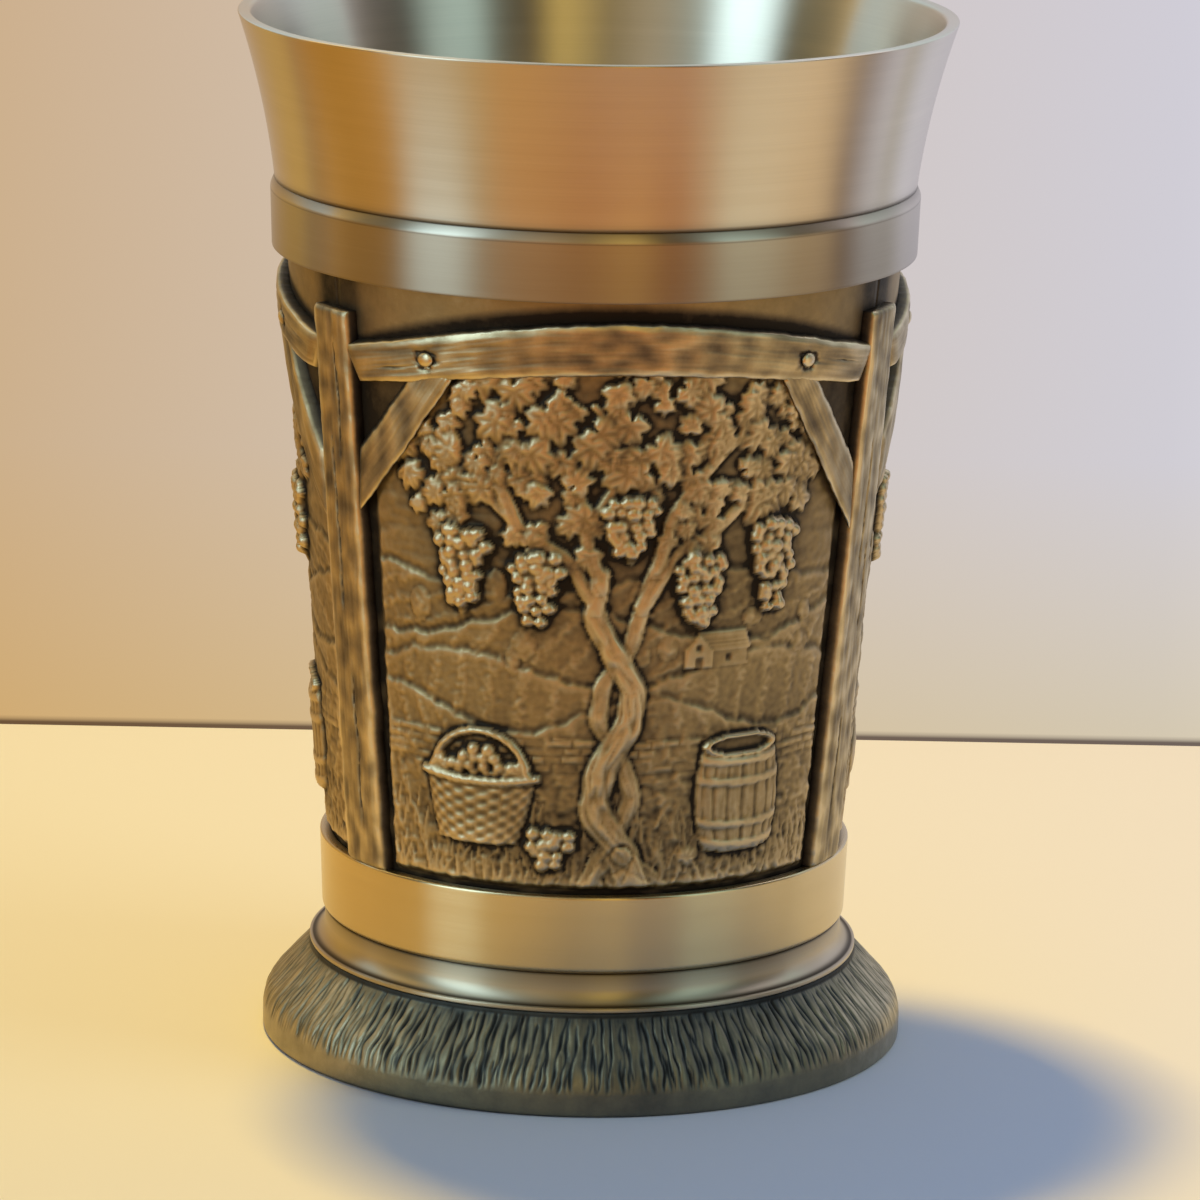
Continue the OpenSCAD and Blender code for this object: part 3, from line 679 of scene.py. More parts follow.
def cask(relief, x, z):
    """A standing wine cask. Its half width is 4.1 + 0.8 (1 - h^2) over its height h from -1
    to 1; staves bow with it under four hoops, and its top is an open oval."""
    tall = 10.5
    patch = window(x, z + tall / 2, 8)
    dx, dz = across[patch] - x, upward[patch] - z
    h = dz / tall * 2 - 1
    half = 4.1 + 0.8 * (1 - np.clip(h, -1.2, 1.2) ** 2)
    crown = np.sqrt(np.clip(1 - (dx / half) ** 2, 0, 1))
    inward = np.minimum(np.minimum(half - np.abs(dx), dz + 0.7 * crown), tall - dz)
    round_way = np.arcsin(np.clip(dx / half, -1, 1))
    seams = np.exp(-(((round_way / 0.34 + 0.5) % 1 - 0.5) / 0.10) ** 2)
    wood = drift(round_way * 12, dz / 3.0, 77)
    body = 0.30 + 0.75 * crown - 0.15 * seams + 0.06 * wood
    for level in (0.9, 3.0, 7.4, 9.5):
        hoop = np.abs(dz + 0.7 * crown - level) < 0.42
        body = np.where(hoop, 0.42 + 0.75 * crown, body)
    stamp(relief, patch, inward, body, 0.16, 0.35)
    oval = 1 - np.hypot(dx / 4.1, (dz - tall) / 1.2)
    stamp(relief, patch, oval * 1.2, 0.75 + 0.02 * dz, 0.12, 0.3)
    inside = np.hypot(dx / 3.4, (dz - tall) / 0.8) < 1
    relief[patch] = np.where(inside, 0.42, relief[patch])


def jug(relief, x, z):
    """A pitcher. Its half width over its height h from 0 to 1 is a foot, a round belly, a
    narrow neck and a flared lip, blended from bell curves; a loop of a handle on its side."""
    tall = 10.5
    patch = window(x + 1, z + tall / 2, 8.5)
    dx, dz = across[patch] - x, upward[patch] - z
    h = dz / tall
    half = (1.7 + 2.3 * np.exp(-((h - 0.36) / 0.24) ** 2) + 0.7 * np.exp(-(h / 0.07) ** 2)
            + 0.9 * np.clip((h - 0.82) / 0.18, 0, 1) ** 1.5)
    ring = np.hypot(dx - 1.5, dz - 7.1)
    handle = np.where(dx > 1.2, 0.45 - np.abs(ring - 2.3), -1)
    stamp(relief, patch, handle, 0.35 + 0.55 * np.sqrt(np.clip(handle, 0, 1)), 0.12, 0.3)
    crown = np.sqrt(np.clip(1 - (dx / half) ** 2, 0, 1))
    inward = np.minimum(np.minimum(half - np.abs(dx), dz + 0.4 * crown), tall - dz)
    bands = sum(np.exp(-((h - level) / 0.014) ** 2) for level in (0.16, 0.58, 0.64, 0.9))
    top = 0.30 + 0.75 * crown * np.clip(half / 3.5, 0.5, 1) + 0.07 * bands
    stamp(relief, patch, inward, top + 0.03 * drift(dx / 1.2, dz / 1.2, 91), 0.16, 0.35)
    oval = 1 - np.hypot(dx / 2.3, (dz - tall) / 0.7)
    stamp(relief, patch, oval * 0.7, 0.55 + 0 * dx, 0.1, 0.25)


# The plan of the picture, in the shares that picture_spot takes; a bunch has its length too
trunk_shares = ((0.10, 0.02), (0.04, 0.09), (-0.07, 0.17), (-0.04, 0.25), (0.06, 0.33),
                (0.08, 0.40), (0, 0.47), (-0.08, 0.54), (-0.06, 0.62))
second_shares = ((-0.09, 0.02), (0.01, 0.11), (0.09, 0.19), (0.03, 0.27), (-0.06, 0.34),
                 (-0.04, 0.41), (0.06, 0.48), (0.10, 0.56), (0.16, 0.65))
arm_shares = (
    ((-0.07, 0.56), (-0.18, 0.65), (-0.34, 0.70), (-0.47, 0.76), (-0.63, 0.75), (-0.80, 0.80)),
    ((0.10, 0.56), (0.22, 0.66), (0.37, 0.70), (0.52, 0.77), (0.67, 0.76), (0.82, 0.81)),
    ((-0.06, 0.60), (-0.12, 0.70), (-0.02, 0.78), (0.05, 0.86), (-0.09, 0.94)),
    ((0.15, 0.63), (0.20, 0.73), (0.33, 0.82), (0.45, 0.88), (0.49, 0.95)),
    ((-0.37, 0.71), (-0.45, 0.81), (-0.39, 0.88), (-0.49, 0.95)))
leaves_shares = ((-0.78, 0.85), (-0.69, 0.74), (-0.60, 0.86), (-0.45, 0.95), (-0.31, 0.80),
                 (-0.24, 0.96), (-0.11, 0.84), (0.03, 0.96), (0.15, 0.82), (0.29, 0.95),
                 (0.37, 0.77), (0.51, 0.86), (0.61, 0.95), (0.69, 0.78), (0.79, 0.86))
bunch_shares = ((-0.57, 0.70, 0.17), (-0.29, 0.66, 0.14), (0.32, 0.66, 0.15),
                (0.62, 0.71, 0.18), (0.05, 0.77, 0.13))


def picture_spot(share, flip=1):
    """A place (x, z) from shares: across, of the way from the middle to the beam's end, and
    up, of the way from the lower band to the beam."""
    z = lower_top_z + share[1] * picture_h
    return flip * share[0] * beam_half_angle * field_r(z), z


def hills(seed, flip):
    """The far ground: four rolling crests, each nearer one lower and further forward, with
    rows of vines across them, and a faint drift of cloud over them."""
    side = across * flip
    land = (0.07 * drift(side / 6.5, upward / 1.7, seed)
            + 0.05 * drift(side / 2.2, upward / 0.9, seed + 1)
            + 0.02 * drift(side / 0.8, upward / 0.5, seed + 2))
    crests = ((53.0, 1.3, 0.08), (48.5, 2.0, 0.12), (44.0, 1.6, 0.16), (39.5, 1.9, 0.20))
    for k, (level, swell, step) in enumerate(crests):
        crest = (level + swell * np.sin(side / (6.5 - 0.7 * k) + 2.3 * k + 0.01 * seed)
                 + 0.45 * drift(side / 2.2, 0 * side + k, seed + 9)
                 + 0.2 * drift(side / 0.7, 0 * side + k, seed + 10))
        below = crest - upward
        cover = np.clip(below / 0.4, 0, 1)
        cover = cover * cover * (3 - 2 * cover)
        rows_on = np.sin((side * (0.55 + 0.18 * k) + below * (1.2 - 0.55 * k)) * 2.2
                         + 0.8 * drift(side / 4.0, upward / 4.0, seed + 11))
        tufts = drift(side / 0.6, upward / 0.5, seed + 12 + k)
        slope = (step + 0.12 * np.exp(-np.clip(below, 0, None) / 0.8)
                 - 0.016 * np.clip(below, 0, 6))
        plot = 0.07 * np.clip(rows_on, 0, 1) * (1 + tufts) + 0.035 * tufts
        land = land * (1 - cover) + cover * (slope + plot * np.clip(below / 1.2, 0, 1))
        land -= 0.07 * np.exp(-((below + 0.3) / 0.3) ** 2)
    return land


def vine(relief, seed, flip):
    """The vine: two stems twisted round each other, arms and shoots under a crown of leaves,
    and bunches of grapes that hang in front of the leaves behind and under those in front."""
    limbs = [(second_shares, (1.1, 0.85), 0.14, 0.10), (trunk_shares, (1.8, 1.1), 0.22, 0.17)]
    limbs += [(shares, (0.9, 0.4), 0.22, 0.09) for shares in arm_shares]
    for k, (shares, widths, lift, bark) in enumerate(limbs):
        stem(relief, [picture_spot(share, flip) for share in shares], widths, lift, bark,
             seed + 10 * k)
    x, z = picture_spot(trunk_shares[0], flip)
    for k, out in enumerate((-5.0, -2.0, 3.6)):
        stem(relief, [(x - flip * 1.2, z + 3.2), (x + flip * (0.6 * out - 0.4), z + 1.1),
                      (x + flip * out, z - 0.5)], (1.0, 0.3), 0.2, 0.12, seed + 90 + k)

    grow = np.random.default_rng(seed + 20)
    spots = [share for share in leaves_shares for _ in range(8)]
    spots += [share for shares in arm_shares for share in shares[1:] for _ in range(3)]
    grow.shuffle(spots)
    front = 3 * len(spots) // 5
    for k, share in enumerate(spots):
        if k == front:
            for n, (at, up, long) in enumerate(bunch_shares):
                bunch(relief, *picture_spot((at, up), flip), long * picture_h, 0.22,
                      seed + 30 + n)
        x, z = picture_spot(share, flip)
        size = grow.uniform(1.5, 3.0) if k >= front else grow.uniform(1.4, 2.4)
        leaf(relief, x + grow.normal(0, 2.0), min(z + grow.normal(0.6, 1.8), leaf_top_z), size,
             math.pi + grow.normal(0, 1.1), 0.22 + 0.22 * k / len(spots),
             grow.uniform(-0.22, 0.22), grow.uniform(-0.16, 0.10))


def picture(seed, flip, pieces):
    """The height of one panel's relief over the field, in millimetres, on the panel's grid.
    flip is -1 where the vine's arms are swapped left for right, and pieces are the two
    things that stand at the vine's foot."""
    side = across * flip
    relief = hills(seed, flip)
    plant = np.random.default_rng(seed + 15)
    for _ in range(12):
        x, z = plant.uniform(-23, 23), plant.uniform(43, 52)
        mound(relief, x, z + 1.0, plant.uniform(0.7, 1.5), plant.uniform(0.8, 1.9), 0.18, 0.06,
              0.6, seed + 16)
    cottage(relief, *picture_spot((0.33, 0.435), flip))

    ground = np.clip((ground_z + 1.3 * np.sin(side / 5) - upward) / 2.5, 0, 1)
    earth = (0.12 + 0.12 * drift(side / 2.6, upward / 1.5, seed + 4)
             + 0.08 * drift(side / 0.8, upward / 0.6, seed + 5))
    turf = (0.11 * drift(side / 0.38, upward / 1.9, seed + 6)
            * np.clip((turf_z - upward) / 3, 0, 1))
    relief += ground * (earth + turf)
    stone_wall(relief, wall_foot_z, wall_top_z, seed + 70)
    for _ in range(18):
        mound(relief, plant.uniform(-24, 24), plant.uniform(23, 32), plant.uniform(0.6, 1.6),
              plant.uniform(0.4, 0.9), 0.28, 0.03, 0.9, seed + 17)

    vine(relief, seed, flip)
    pieces[0](relief, *picture_spot((-0.54, 0.10), flip))
    pieces[1](relief, *picture_spot((0.55, 0.085), flip))
    if pieces[0] is basket:
        leaf(relief, flip * -8.6, 33.4, 2.1, 1.9, 0.7)
        leaf(relief, flip * -17.4, 33.6, 1.9, -2.2, 0.7)
    leaf(relief, flip * -5.5, 24.8, 1.8, 0.7, 0.35)
    leaf(relief, flip * 7.6, 24.6, 1.7, -0.6, 0.35)
    bunch(relief, flip * -5.6, 27.8, 4.4, 0.2, seed + 60)
    grass(relief, seed + 40)
    relief += 0.03 * drift(across / 0.75, upward / 0.75, seed + 50)

    margin = (picture_half - np.abs(columns[None, :])) * field_r(rows)[:, None]
    margin = margin + 0.25 * drift(upward / 2.2, across * 0 + 3, seed + 8)
    foot = upward - lower_top_z - 0.55 - 0.2 * drift(across / 1.5, 0 * across, seed + 7)
    under = np.minimum(0.3 - brace_side, beam_line - 0.3 - upward)
    inside = np.clip(np.minimum(np.minimum(margin, foot), under) / 0.5, 0, 1)
    inside = inside * inside * (3 - 2 * inside)
    plain = 0.03 * drift(across / 3, upward / 3, seed + 3)
    return softened(plain + inside * (0.20 + relief - plain), 0.6)


def softened(height, cells):
    """The height blurred along rows and columns by a bell curve of that many cells."""
    reach = int(3 * cells + 1)
    bell = np.exp(-0.5 * (np.arange(-reach, reach + 1) / cells) ** 2)
    bell /= bell.sum()
    for axis in (0, 1):
        padding = [(reach, reach) if k == axis else (0, 0) for k in (0, 1)]
        padded = np.pad(height, padding, mode="edge")
        length = height.shape[axis]
        height = sum(w * np.take(padded, range(k, k + length), axis=axis)
                     for k, w in enumerate(bell))
    return height


def hollows(height):
    """How far each point lies below its surroundings, near and far: towards 0 on a high
    edge, 0.47 on a level place and 1 in a crease."""
    near = softened(height, 2.2) - height
    far = softened(height, 9.0) - height
    crease = 2.7 * np.clip(near, 0, None) + 1.6 * np.clip(near, None, 0)
    return np.clip(0.47 + crease + 0.75 * far, 0, 1)


# Patina: Shade is Hollow with clouds and mottling added, and Height is mottled and pitted
cast_patina, patina_in, patina_out = new_group("cast_patina", {"Hollow": 0.5},
                                               ("Shade", "Height"))
place = object_place(cast_patina)
mottle = noise(cast_patina, place, 420.0, 4.0, 0.65)
cloud = noise(cast_patina, place, 60.0, 3.0, 0.5)
pits = noise(cast_patina, place, 3200.0, 2.0, 0.6)
uneven = sums(cast_patina, "ADD",
              sums(cast_patina, "MULTIPLY_ADD", mottle, 0.30, -0.15),
              sums(cast_patina, "MULTIPLY_ADD", cloud, 0.30, -0.15))
cast_patina.links.new(sums(cast_patina, "ADD", patina_in.outputs["Hollow"], uneven),
                      patina_out.inputs["Shade"])
cast_patina.links.new(sums(cast_patina, "MULTIPLY_ADD", pits, 0.5, mottle),
                      patina_out.inputs["Height"])


def cast_pewter(name, stops, worn_roughness, dark_roughness):
    """Cast pewter under a dark patina that has been rubbed off the high places: the mark
    hollow picks the colour and roughness, and a fine pitting stands in its bump."""
    material, tree, shader = new_material(name)
    mark = tree.nodes.new("ShaderNodeAttribute")
    mark.attribute_name = "hollow"
    patina = tree.nodes.new("ShaderNodeGroup")
    patina.node_tree = cast_patina
    tree.links.new(mark.outputs["Fac"], patina.inputs["Hollow"])
    tree.links.new(ramp(tree, patina.outputs["Shade"], stops), shader.inputs["Base Color"])
    tree.links.new(
        sums(tree, "MULTIPLY_ADD", patina.outputs["Shade"],
             dark_roughness - worn_roughness, worn_roughness), shader.inputs["Roughness"])
    tree.links.new(
        sums(tree, "MULTIPLY_ADD", patina.outputs["Shade"], -0.45, 1.1),
        shader.inputs["Metallic"])
    bumped(tree, shader, patina.outputs["Height"], 0.35, 0.08)
    return material


panel_metal = cast_pewter("cast_pewter_panel", [
    (0.15, (0.54, 0.44, 0.29)), (0.45, (0.305, 0.226, 0.110)), (0.70, (0.155, 0.110, 0.052)),
    (0.96, (0.014, 0.009, 0.004))], 0.39, 0.60)


def panel(number, seed, flip, pieces):
    """A closed casting: the front is the field with the picture on it, r = field_r(z) plus
    the picture's height; the back is a plain cone, and four narrow walls close the edges.
    The patina is darkest in the gutter round the picture, outside the braces and over the
    beam, where nothing rubs it off; beside the posts and just over the lower band that dark
    is painted shade as well."""
    height = picture(seed, flip, pieces)
    turn = (number - 1) * 2 * np.pi / 3
    a = columns + turn
    r = field_r(rows)[:, None] + height
    front = np.stack([r * np.sin(a), -r * np.cos(a), rows[:, None] + 0 * r], -1).reshape(-1, 3)
    ends = field_r(rows[[0, -1]])[:, None] - panel_wall
    back = np.stack([ends * np.sin(a), -ends * np.cos(a), rows[[0, -1]][:, None] + 0 * a], -1)
    tall, wide = len(rows), len(columns)
    faces = grid_faces(tall, wide)
    j = np.arange(wide - 1)
    low, high = tall * wide, tall * wide + wide
    top = (tall - 1) * wide
    faces += np.column_stack([j + 1, j, low + j, low + j + 1]).tolist()
    faces += np.column_stack([low + j + 1, low + j, high + j, high + j + 1]).tolist()
    faces += np.column_stack([high + j + 1, high + j, top + j, top + j + 1]).tolist()
    left = (np.arange(tall) * wide).tolist()
    right = (np.arange(tall) * wide + wide - 1).tolist()
    faces += [left + [high, low], right[::-1] + [low + wide - 1, high + wide - 1]]
    dark = hollows(height)
    # The gutter beside the posts and just over the lower band: dark patina and painted shade
    gutter = np.clip(1 - height / 0.14, 0, 1) * (upward < beam_line)
    edge_near = (gutter_half - np.abs(columns[None, :])) * field_r(rows)[:, None]
    gutter *= np.maximum(np.clip(2.6 - edge_near / 1.1, 0, 1),
                         np.clip(1.4 - (upward - lower_top_z) / 0.6, 0, 1))
    dark = np.maximum(dark, 0.97 * gutter)
    corner = (np.clip((brace_side - 0.2) / 0.6, 0, 1)
              * ((upward > brace_foot_z) & (upward < beam_line)))
    dark = np.maximum(dark, corner * (0.87 + 0.08 * np.clip(1.2 - edge_near / 3.0, 0, 1)))
    # Over the beam dark patina, and beside the posts painted shade as well
    over_beam = upward - beam_top_z + across ** 2 / beam_top_curve
    above = (0.47 + 0.52 * np.clip(1.9 - over_beam / 1.0, 0, 1)
             + 0.45 * np.exp(-np.clip(edge_near, 0, None) / 1.8))
    dark = np.where(upward > beam_line, np.maximum(dark, above), dark)
    dark = np.concatenate([dark.ravel(), np.ones(2 * wide)])
    piece(f"relief_{number}", np.concatenate([front, back.reshape(-1, 3)]), faces,
          panel_metal, "cast_pewter", f"relief_panel_{number}", hollow=dark)


for number, seed, flip, pieces in ((1, 11, 1, (basket, cask)), (2, 211, -1, (basket, jug)),
                                   (3, 411, -1, (cask, basket))):
    panel(number, seed, flip, pieces)


# Timber frame. Cast in the shape of hewn beams: on each panel an arched beam with two
# braces and two pegs. Their faces are rubbed bright, and their cracks hold the patina.
beam_rise, beam_end_h = 4.4, 3.9
beam_bottom_rise = beam_rise + beam_end_h - beam_mid_h
beam_half_w = (field_r(beam_top_z - beam_rise) + timber_proud) * math.sin(beam_half_angle)
peg_x, peg_r, peg_proud = beam_half_w - 6.6, 0.72, 0.40
peg_hollow = (1, 0.9, 0.5, 0.3, 0.2, 0.1, 0.1, 0.1, 0.1)
peg_around = 20
face_points = 38
beam_steps, brace_steps, post_steps = 260, 130, 330
brace_leans = ((-1, "left", 28.5), (1, "right", 25.5))
beam_cracks = ((0.02, 0.12, 0.25, 0.22), (0.90, 0.99, -0.15, 0.2))
timber_metal = cast_pewter("cast_pewter_timber", [
    (0.12, (0.64, 0.545, 0.37)), (0.40, (0.335, 0.268, 0.155)), (0.62, (0.13, 0.100, 0.060)),
    (0.90, (0.018, 0.012, 0.006))], 0.34, 0.60)


def on_cup(x, z, height, turn):
    """The point over (x, z) of a panel's front view that stands height off the field."""
    r = field_r(z) + height
    a = np.arcsin(x / r) + turn
    return np.stack([r * np.sin(a), -r * np.cos(a), z + 0 * a], -1)


def timber(name, x, z, half_w, turn, stands_for, seed, skew=(0, 0), proud=timber_proud,
           cracks=(), pegs=()):
    """A hewn bar along the line (x, z) of the front view. Its sides are ragged, and its face
    carries grain: noise that is long along the bar and short across. The ends are cut at a
    slope of skew. A crack is (start, end, offset, depth), in shares of length and width.
    Round a peg's place (x, z) the face is sunk in an uneven ring and split like a star."""
    s = np.concatenate([[0], np.cumsum(np.hypot(np.diff(x), np.diff(z)))])[:, None]
    way = np.column_stack([np.gradient(x), np.gradient(z)])
    way /= np.linalg.norm(way, axis=1)[:, None]
    share = s / s[-1]
    face = np.linspace(-0.95, 0.95, face_points)
    side_h = np.array([-0.3, 0.2, 0.6, 0.85]) * proud / timber_proud
    u = np.concatenate([-np.ones(4), face, np.ones(4)])[None, :]
    flat = np.concatenate([side_h, np.full(face_points, proud), side_h[::-1]])
    on_face = np.concatenate([np.zeros(4), np.ones(face_points), np.zeros(4)])
    edge = np.sign(u)
    ragged = (0.15 * drift(s / 3.0, 3 * edge + 5, seed)
              + 0.07 * drift(s / 0.8, edge + 9, seed + 1))
    out = u * (half_w[:, None] + ragged)
    shift = out * (skew[0] * (1 - share) + skew[1] * share)
    grain = (0.55 * drift(s / 9.0, out / 0.6, seed + 2)
             + 0.45 * drift(s / 3.0, out / 0.26, seed + 3))
    dents = drift(s / 2.4, out / 1.6, seed + 4)
    rounding = 0.20 * np.clip((np.abs(u) - 0.62) / 0.33, 0, 1) ** 2
    ends = 0.25 * np.clip(1 - np.minimum(s, s[-1] - s) / 0.5, 0, 1) ** 2
    lift = on_face * (0.075 * grain + 0.06 * dents - rounding - ends)
    hollow = (0.41 - 0.13 * grain - 0.24 * dents
              - 0.22 * on_face * np.clip(rounding / 0.1, 0, 1))
    for start, end, offset, depth in cracks:
        middle = offset * half_w[:, None] + 0.3 * drift(s / 5.0, 0 * s + 2, seed + 6)
        open_here = np.clip(np.minimum(share - start, end - share) / 0.05, 0, 1)
        middle = middle + 0.08 * drift(s / 0.9, 0 * s + 4, seed + 7)
        wide = (0.03 + 0.06 * open_here) * (1.2 + 0.8 * drift(s / 1.3, 0 * s + 6, seed + 8))
        cut = np.exp(-((out - middle) / wide) ** 2) * open_here * on_face
        lift = lift - depth * cut
        hollow = np.maximum(hollow, 0.95 * cut)
    px = x[:, None] + out * way[:, 1:] + shift * way[:, :1]
    pz = z[:, None] - out * way[:, :1] + shift * way[:, 1:]
    for peg, peg_z in pegs:
        d = np.hypot(px - peg, pz - peg_z)
        round_peg = np.arctan2(px - peg, pz - peg_z)
        star = 0.6 + 0.4 * np.cos(5 * round_peg + seed)
        edge = (1.08 * peg_r + 0.12 * np.cos(3 * round_peg + 2 * seed)
                + 0.08 * np.cos(7 * round_peg))
        ring = np.exp(-((d - edge) / 0.26) ** 2) * on_face
        split = np.exp(-(d / 1.7) ** 2) * star ** 3 * on_face
        lift = lift - 0.20 * ring - 0.10 * split
        hollow = np.maximum(hollow, np.maximum(0.95 * ring, 0.8 * split))
    height = flat[None, :] + lift
    points = on_cup(px, pz, height, turn).reshape(-1, 3)
    steps, count = px.shape
    faces = grid_faces(steps, count, wrap_columns=True)
    faces += [list(range(count))[::-1], list(range((steps - 1) * count, steps * count))]
    hollow = np.where(on_face > 0, hollow, 0.92 - 0.45 * np.clip(height / proud, 0, 1))
    piece(name, points, faces, timber_metal, "cast_pewter", stands_for,
          hollow=np.clip(hollow, 0, 1))


def bow(x, top, rise):
    """Height of an arched edge: its top less the rise times the square of x / half width."""
    return top - rise * (x / beam_half_w) ** 2


def peg_head(x, z, foot, turn):
    """A closed dome on the front view's point (x, z): radius peg_r cos t and height
    foot + peg_proud sin t for t from 0 at its edge to a quarter turn at its top."""
    steps = len(peg_hollow)
    t = np.linspace(0, np.pi / 2, steps)[:-1, None]
    b = np.linspace(0, 2 * np.pi, peg_around, endpoint=False)
    out = np.concatenate([[[peg_r]], peg_r * np.cos(t)])
    high = np.concatenate([[[foot - 0.5]], foot + peg_proud * np.sin(t)])
    ring = on_cup(x + out * np.sin(b), z - out * np.cos(b), high + 0 * b, turn).reshape(-1, 3)
    faces = grid_faces(steps, peg_around, wrap_columns=True)
    last = (steps - 1) * peg_around
    j = np.arange(peg_around)
    faces += [list(range(peg_around))[::-1]]
    faces += np.column_stack([last + j, last + (j + 1) % peg_around,
                              0 * j + steps * peg_around]).tolist()
    tip = on_cup(np.array([x]), np.array([z]), np.array([foot + peg_proud]), turn)
    return np.concatenate([ring, tip]), faces


for number in (1, 2, 3):
    turn = (number - 1) * 2 * np.pi / 3
    node = f"relief_panel_{number}"
    x = np.linspace(-beam_half_w, beam_half_w, beam_steps)
    upper = bow(x, beam_top_z, beam_rise)
    lower = bow(x, beam_bottom_z, beam_bottom_rise)
    slope = np.gradient((upper + lower) / 2, x)
    peg_z = (bow(peg_x, beam_top_z, beam_rise) + bow(peg_x, beam_bottom_z, beam_bottom_rise)) / 2
    timber(f"beam_{number}", x, (upper + lower) / 2, (upper - lower) / 2 / np.hypot(1, slope),
           turn, node, 60 + number, (0.12, -0.12), timber_proud, beam_cracks,
           ((-peg_x, peg_z), (peg_x, peg_z)))
    for side, side_name, lean_degrees in brace_leans:
        lean = math.radians(lean_degrees)
        top_x, top_z = beam_half_w - brace_inset, beam_bottom_z - beam_bottom_rise / 2 + 1.2
        length = (beam_half_w - 0.9 - top_x) / math.sin(lean)
        s = np.linspace(0, length, brace_steps)
        timber(f"brace_{number}_{side_name}",
               side * (top_x + s * math.sin(lean)), top_z - s * math.cos(lean),
               np.full(brace_steps, brace_w / 2), turn, node, 80 + 2 * number + side,
               (0, side / math.tan(lean)), timber_proud - 0.15)
    heads = [peg_head(side * peg_x, peg_z, timber_proud - 0.1, turn) for side in (-1, 1)]
    count = len(heads[0][0])
    points = np.concatenate([heads[0][0], heads[1][0]])
    faces = heads[0][1] + [[k + count for k in face] for face in heads[1][1]]
    high = np.tile(np.append(np.repeat(peg_hollow, peg_around), peg_hollow[-1]), 2)
    piece(f"pegs_{number}", points, faces, timber_metal, "cast_pewter", node, hollow=high)


# Posts. Three cast uprights soldered over the seams between the panels, from the lower
# band to just under the upper one. Long drying cracks run down their faces.
post_top_w, post_bottom_w = 5.8, 6.6
post_cracks = {
    1: ((0.06, 0.30, -0.25, 0.30), (0.38, 0.60, 0.35, 0.25), (0.52, 0.78, -0.1, 0.35)),
    2: ((0.10, 0.36, 0.2, 0.30), (0.45, 0.72, -0.3, 0.30)),
    3: ((0.05, 0.38, 0.15, 0.32), (0.44, 0.80, -0.15, 0.38), (0.70, 0.97, 0.3, 0.25))}
for number, cracks in post_cracks.items():
    low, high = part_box(f"frame_post_{number}")
    z = np.linspace(low.z, high.z, post_steps) / mm
    half_w = np.linspace(post_bottom_w, post_top_w, post_steps) / 2
    timber(f"post_{number}", 0 * z, z, half_w, (number - 0.5) * 2 * np.pi / 3,
           f"frame_post_{number}", 100 + 10 * number, cracks=cracks)


# Foot collar. A turned ring under the cup: a short neck, a cove that runs out to the
# edge of the foot, and a flange on which the liner stands. It is soldered to the skirt.
foot_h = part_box("foot_skirt")[1].z / mm
neck_r = lower_edge_r - 0.3
cove_r = 1.55
bead_h = 0.45
flange_r = liner_r(liner_bottom_z) - 3.75
foot_top_r = neck_r + cove_r
quarter = np.linspace(-np.pi / 2, -np.pi, 14)
cove = np.column_stack([foot_top_r + cove_r * np.cos(quarter),
                        foot_h + bead_h + cove_r + cove_r * np.sin(quarter)])
collar_outline = np.concatenate([
    eased([[flange_r + 1, foot_h], [foot_top_r, foot_h], cove[0], cove[1]], 0.22, 6),
    cove[2:],
    eased([cove[-1], [neck_r, collar_top_z], [liner_r(collar_top_z) + solder_gap, collar_top_z],
           [liner_r(liner_bottom_z) + solder_gap, liner_bottom_z],
           [flange_r, liner_bottom_z], [flange_r, foot_h], [flange_r + 1, foot_h]], 0.2)[1:-1]])
collar_metal = turned_pewter("turned_pewter_collar", (0.50, 0.44, 0.34), (0.06, 0.045, 0.03),
                             0.36)


def collar_painted_shade(r, z):
    """Painted shade: dark in the cove's lower half and at the top under the lower band."""
    in_cove = np.exp(-((z - foot_h - bead_h - 0.05) / 0.18) ** 2) * (r < foot_top_r - 0.2)
    return np.clip(in_cove + np.exp((z - collar_top_z) / 0.3), 0, 1)


turned("collar", collar_outline, collar_metal, "turned_pewter", "foot_collar", collar_painted_shade)


# Foot skirt. A cast, sloping foot whose face is worked with bark-like ridges that run
# from the collar to a smooth edge; hollow underneath, with a ledge for the base plate.
foot_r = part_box("foot_skirt")[1].x / mm
foot_edge_h, foot_top_edge_h, shoulder_r, foot_chamfer = 2.2, 0.4, 4.0, 0.25
seat_r = foot_r - 2.2
seat_w, seat_z = 0.7, 3.2
skirt_wall, top_plate_w, top_plate_t = 1.9, 6.0, 1.6
skirt_around = 1440
shoulder = np.array([foot_r - shoulder_r, foot_edge_h])
slope_top = np.array([foot_top_r, foot_h - foot_top_edge_h])
across_way = shoulder - slope_top
slope_angle = math.atan2(across_way[1], across_way[0]) + math.asin(
    shoulder_r / np.linalg.norm(across_way))
bend_angle = np.linspace(0, slope_angle + np.pi / 2, 15)[:, None]
shoulder_arc = shoulder + shoulder_r * np.column_stack([np.cos(bend_angle), np.sin(bend_angle)])
slope_line = shoulder_arc[-1] + (slope_top - shoulder_arc[-1]) * np.linspace(0, 1, 27)[1:, None]
edge_line = eased([[seat_r, 0.6], [seat_r, 0], [foot_r - foot_chamfer, 0],
                   [foot_r, foot_chamfer], [foot_r, 1.2], shoulder_arc[0]], 0.2, 3)[1:-1]
inner_line = eased([
    slope_line[-1], [foot_top_r, foot_h], [foot_top_r - top_plate_w, foot_h],
    [foot_top_r - top_plate_w, foot_h - top_plate_t],
    [foot_top_r - skirt_wall, foot_h - top_plate_t],
    [seat_r - seat_w, seat_z], [seat_r, seat_z], [seat_r, 0.6]], 0.2, 2)[1:]
skirt_line = np.concatenate([edge_line, shoulder_arc, slope_line, inner_line])
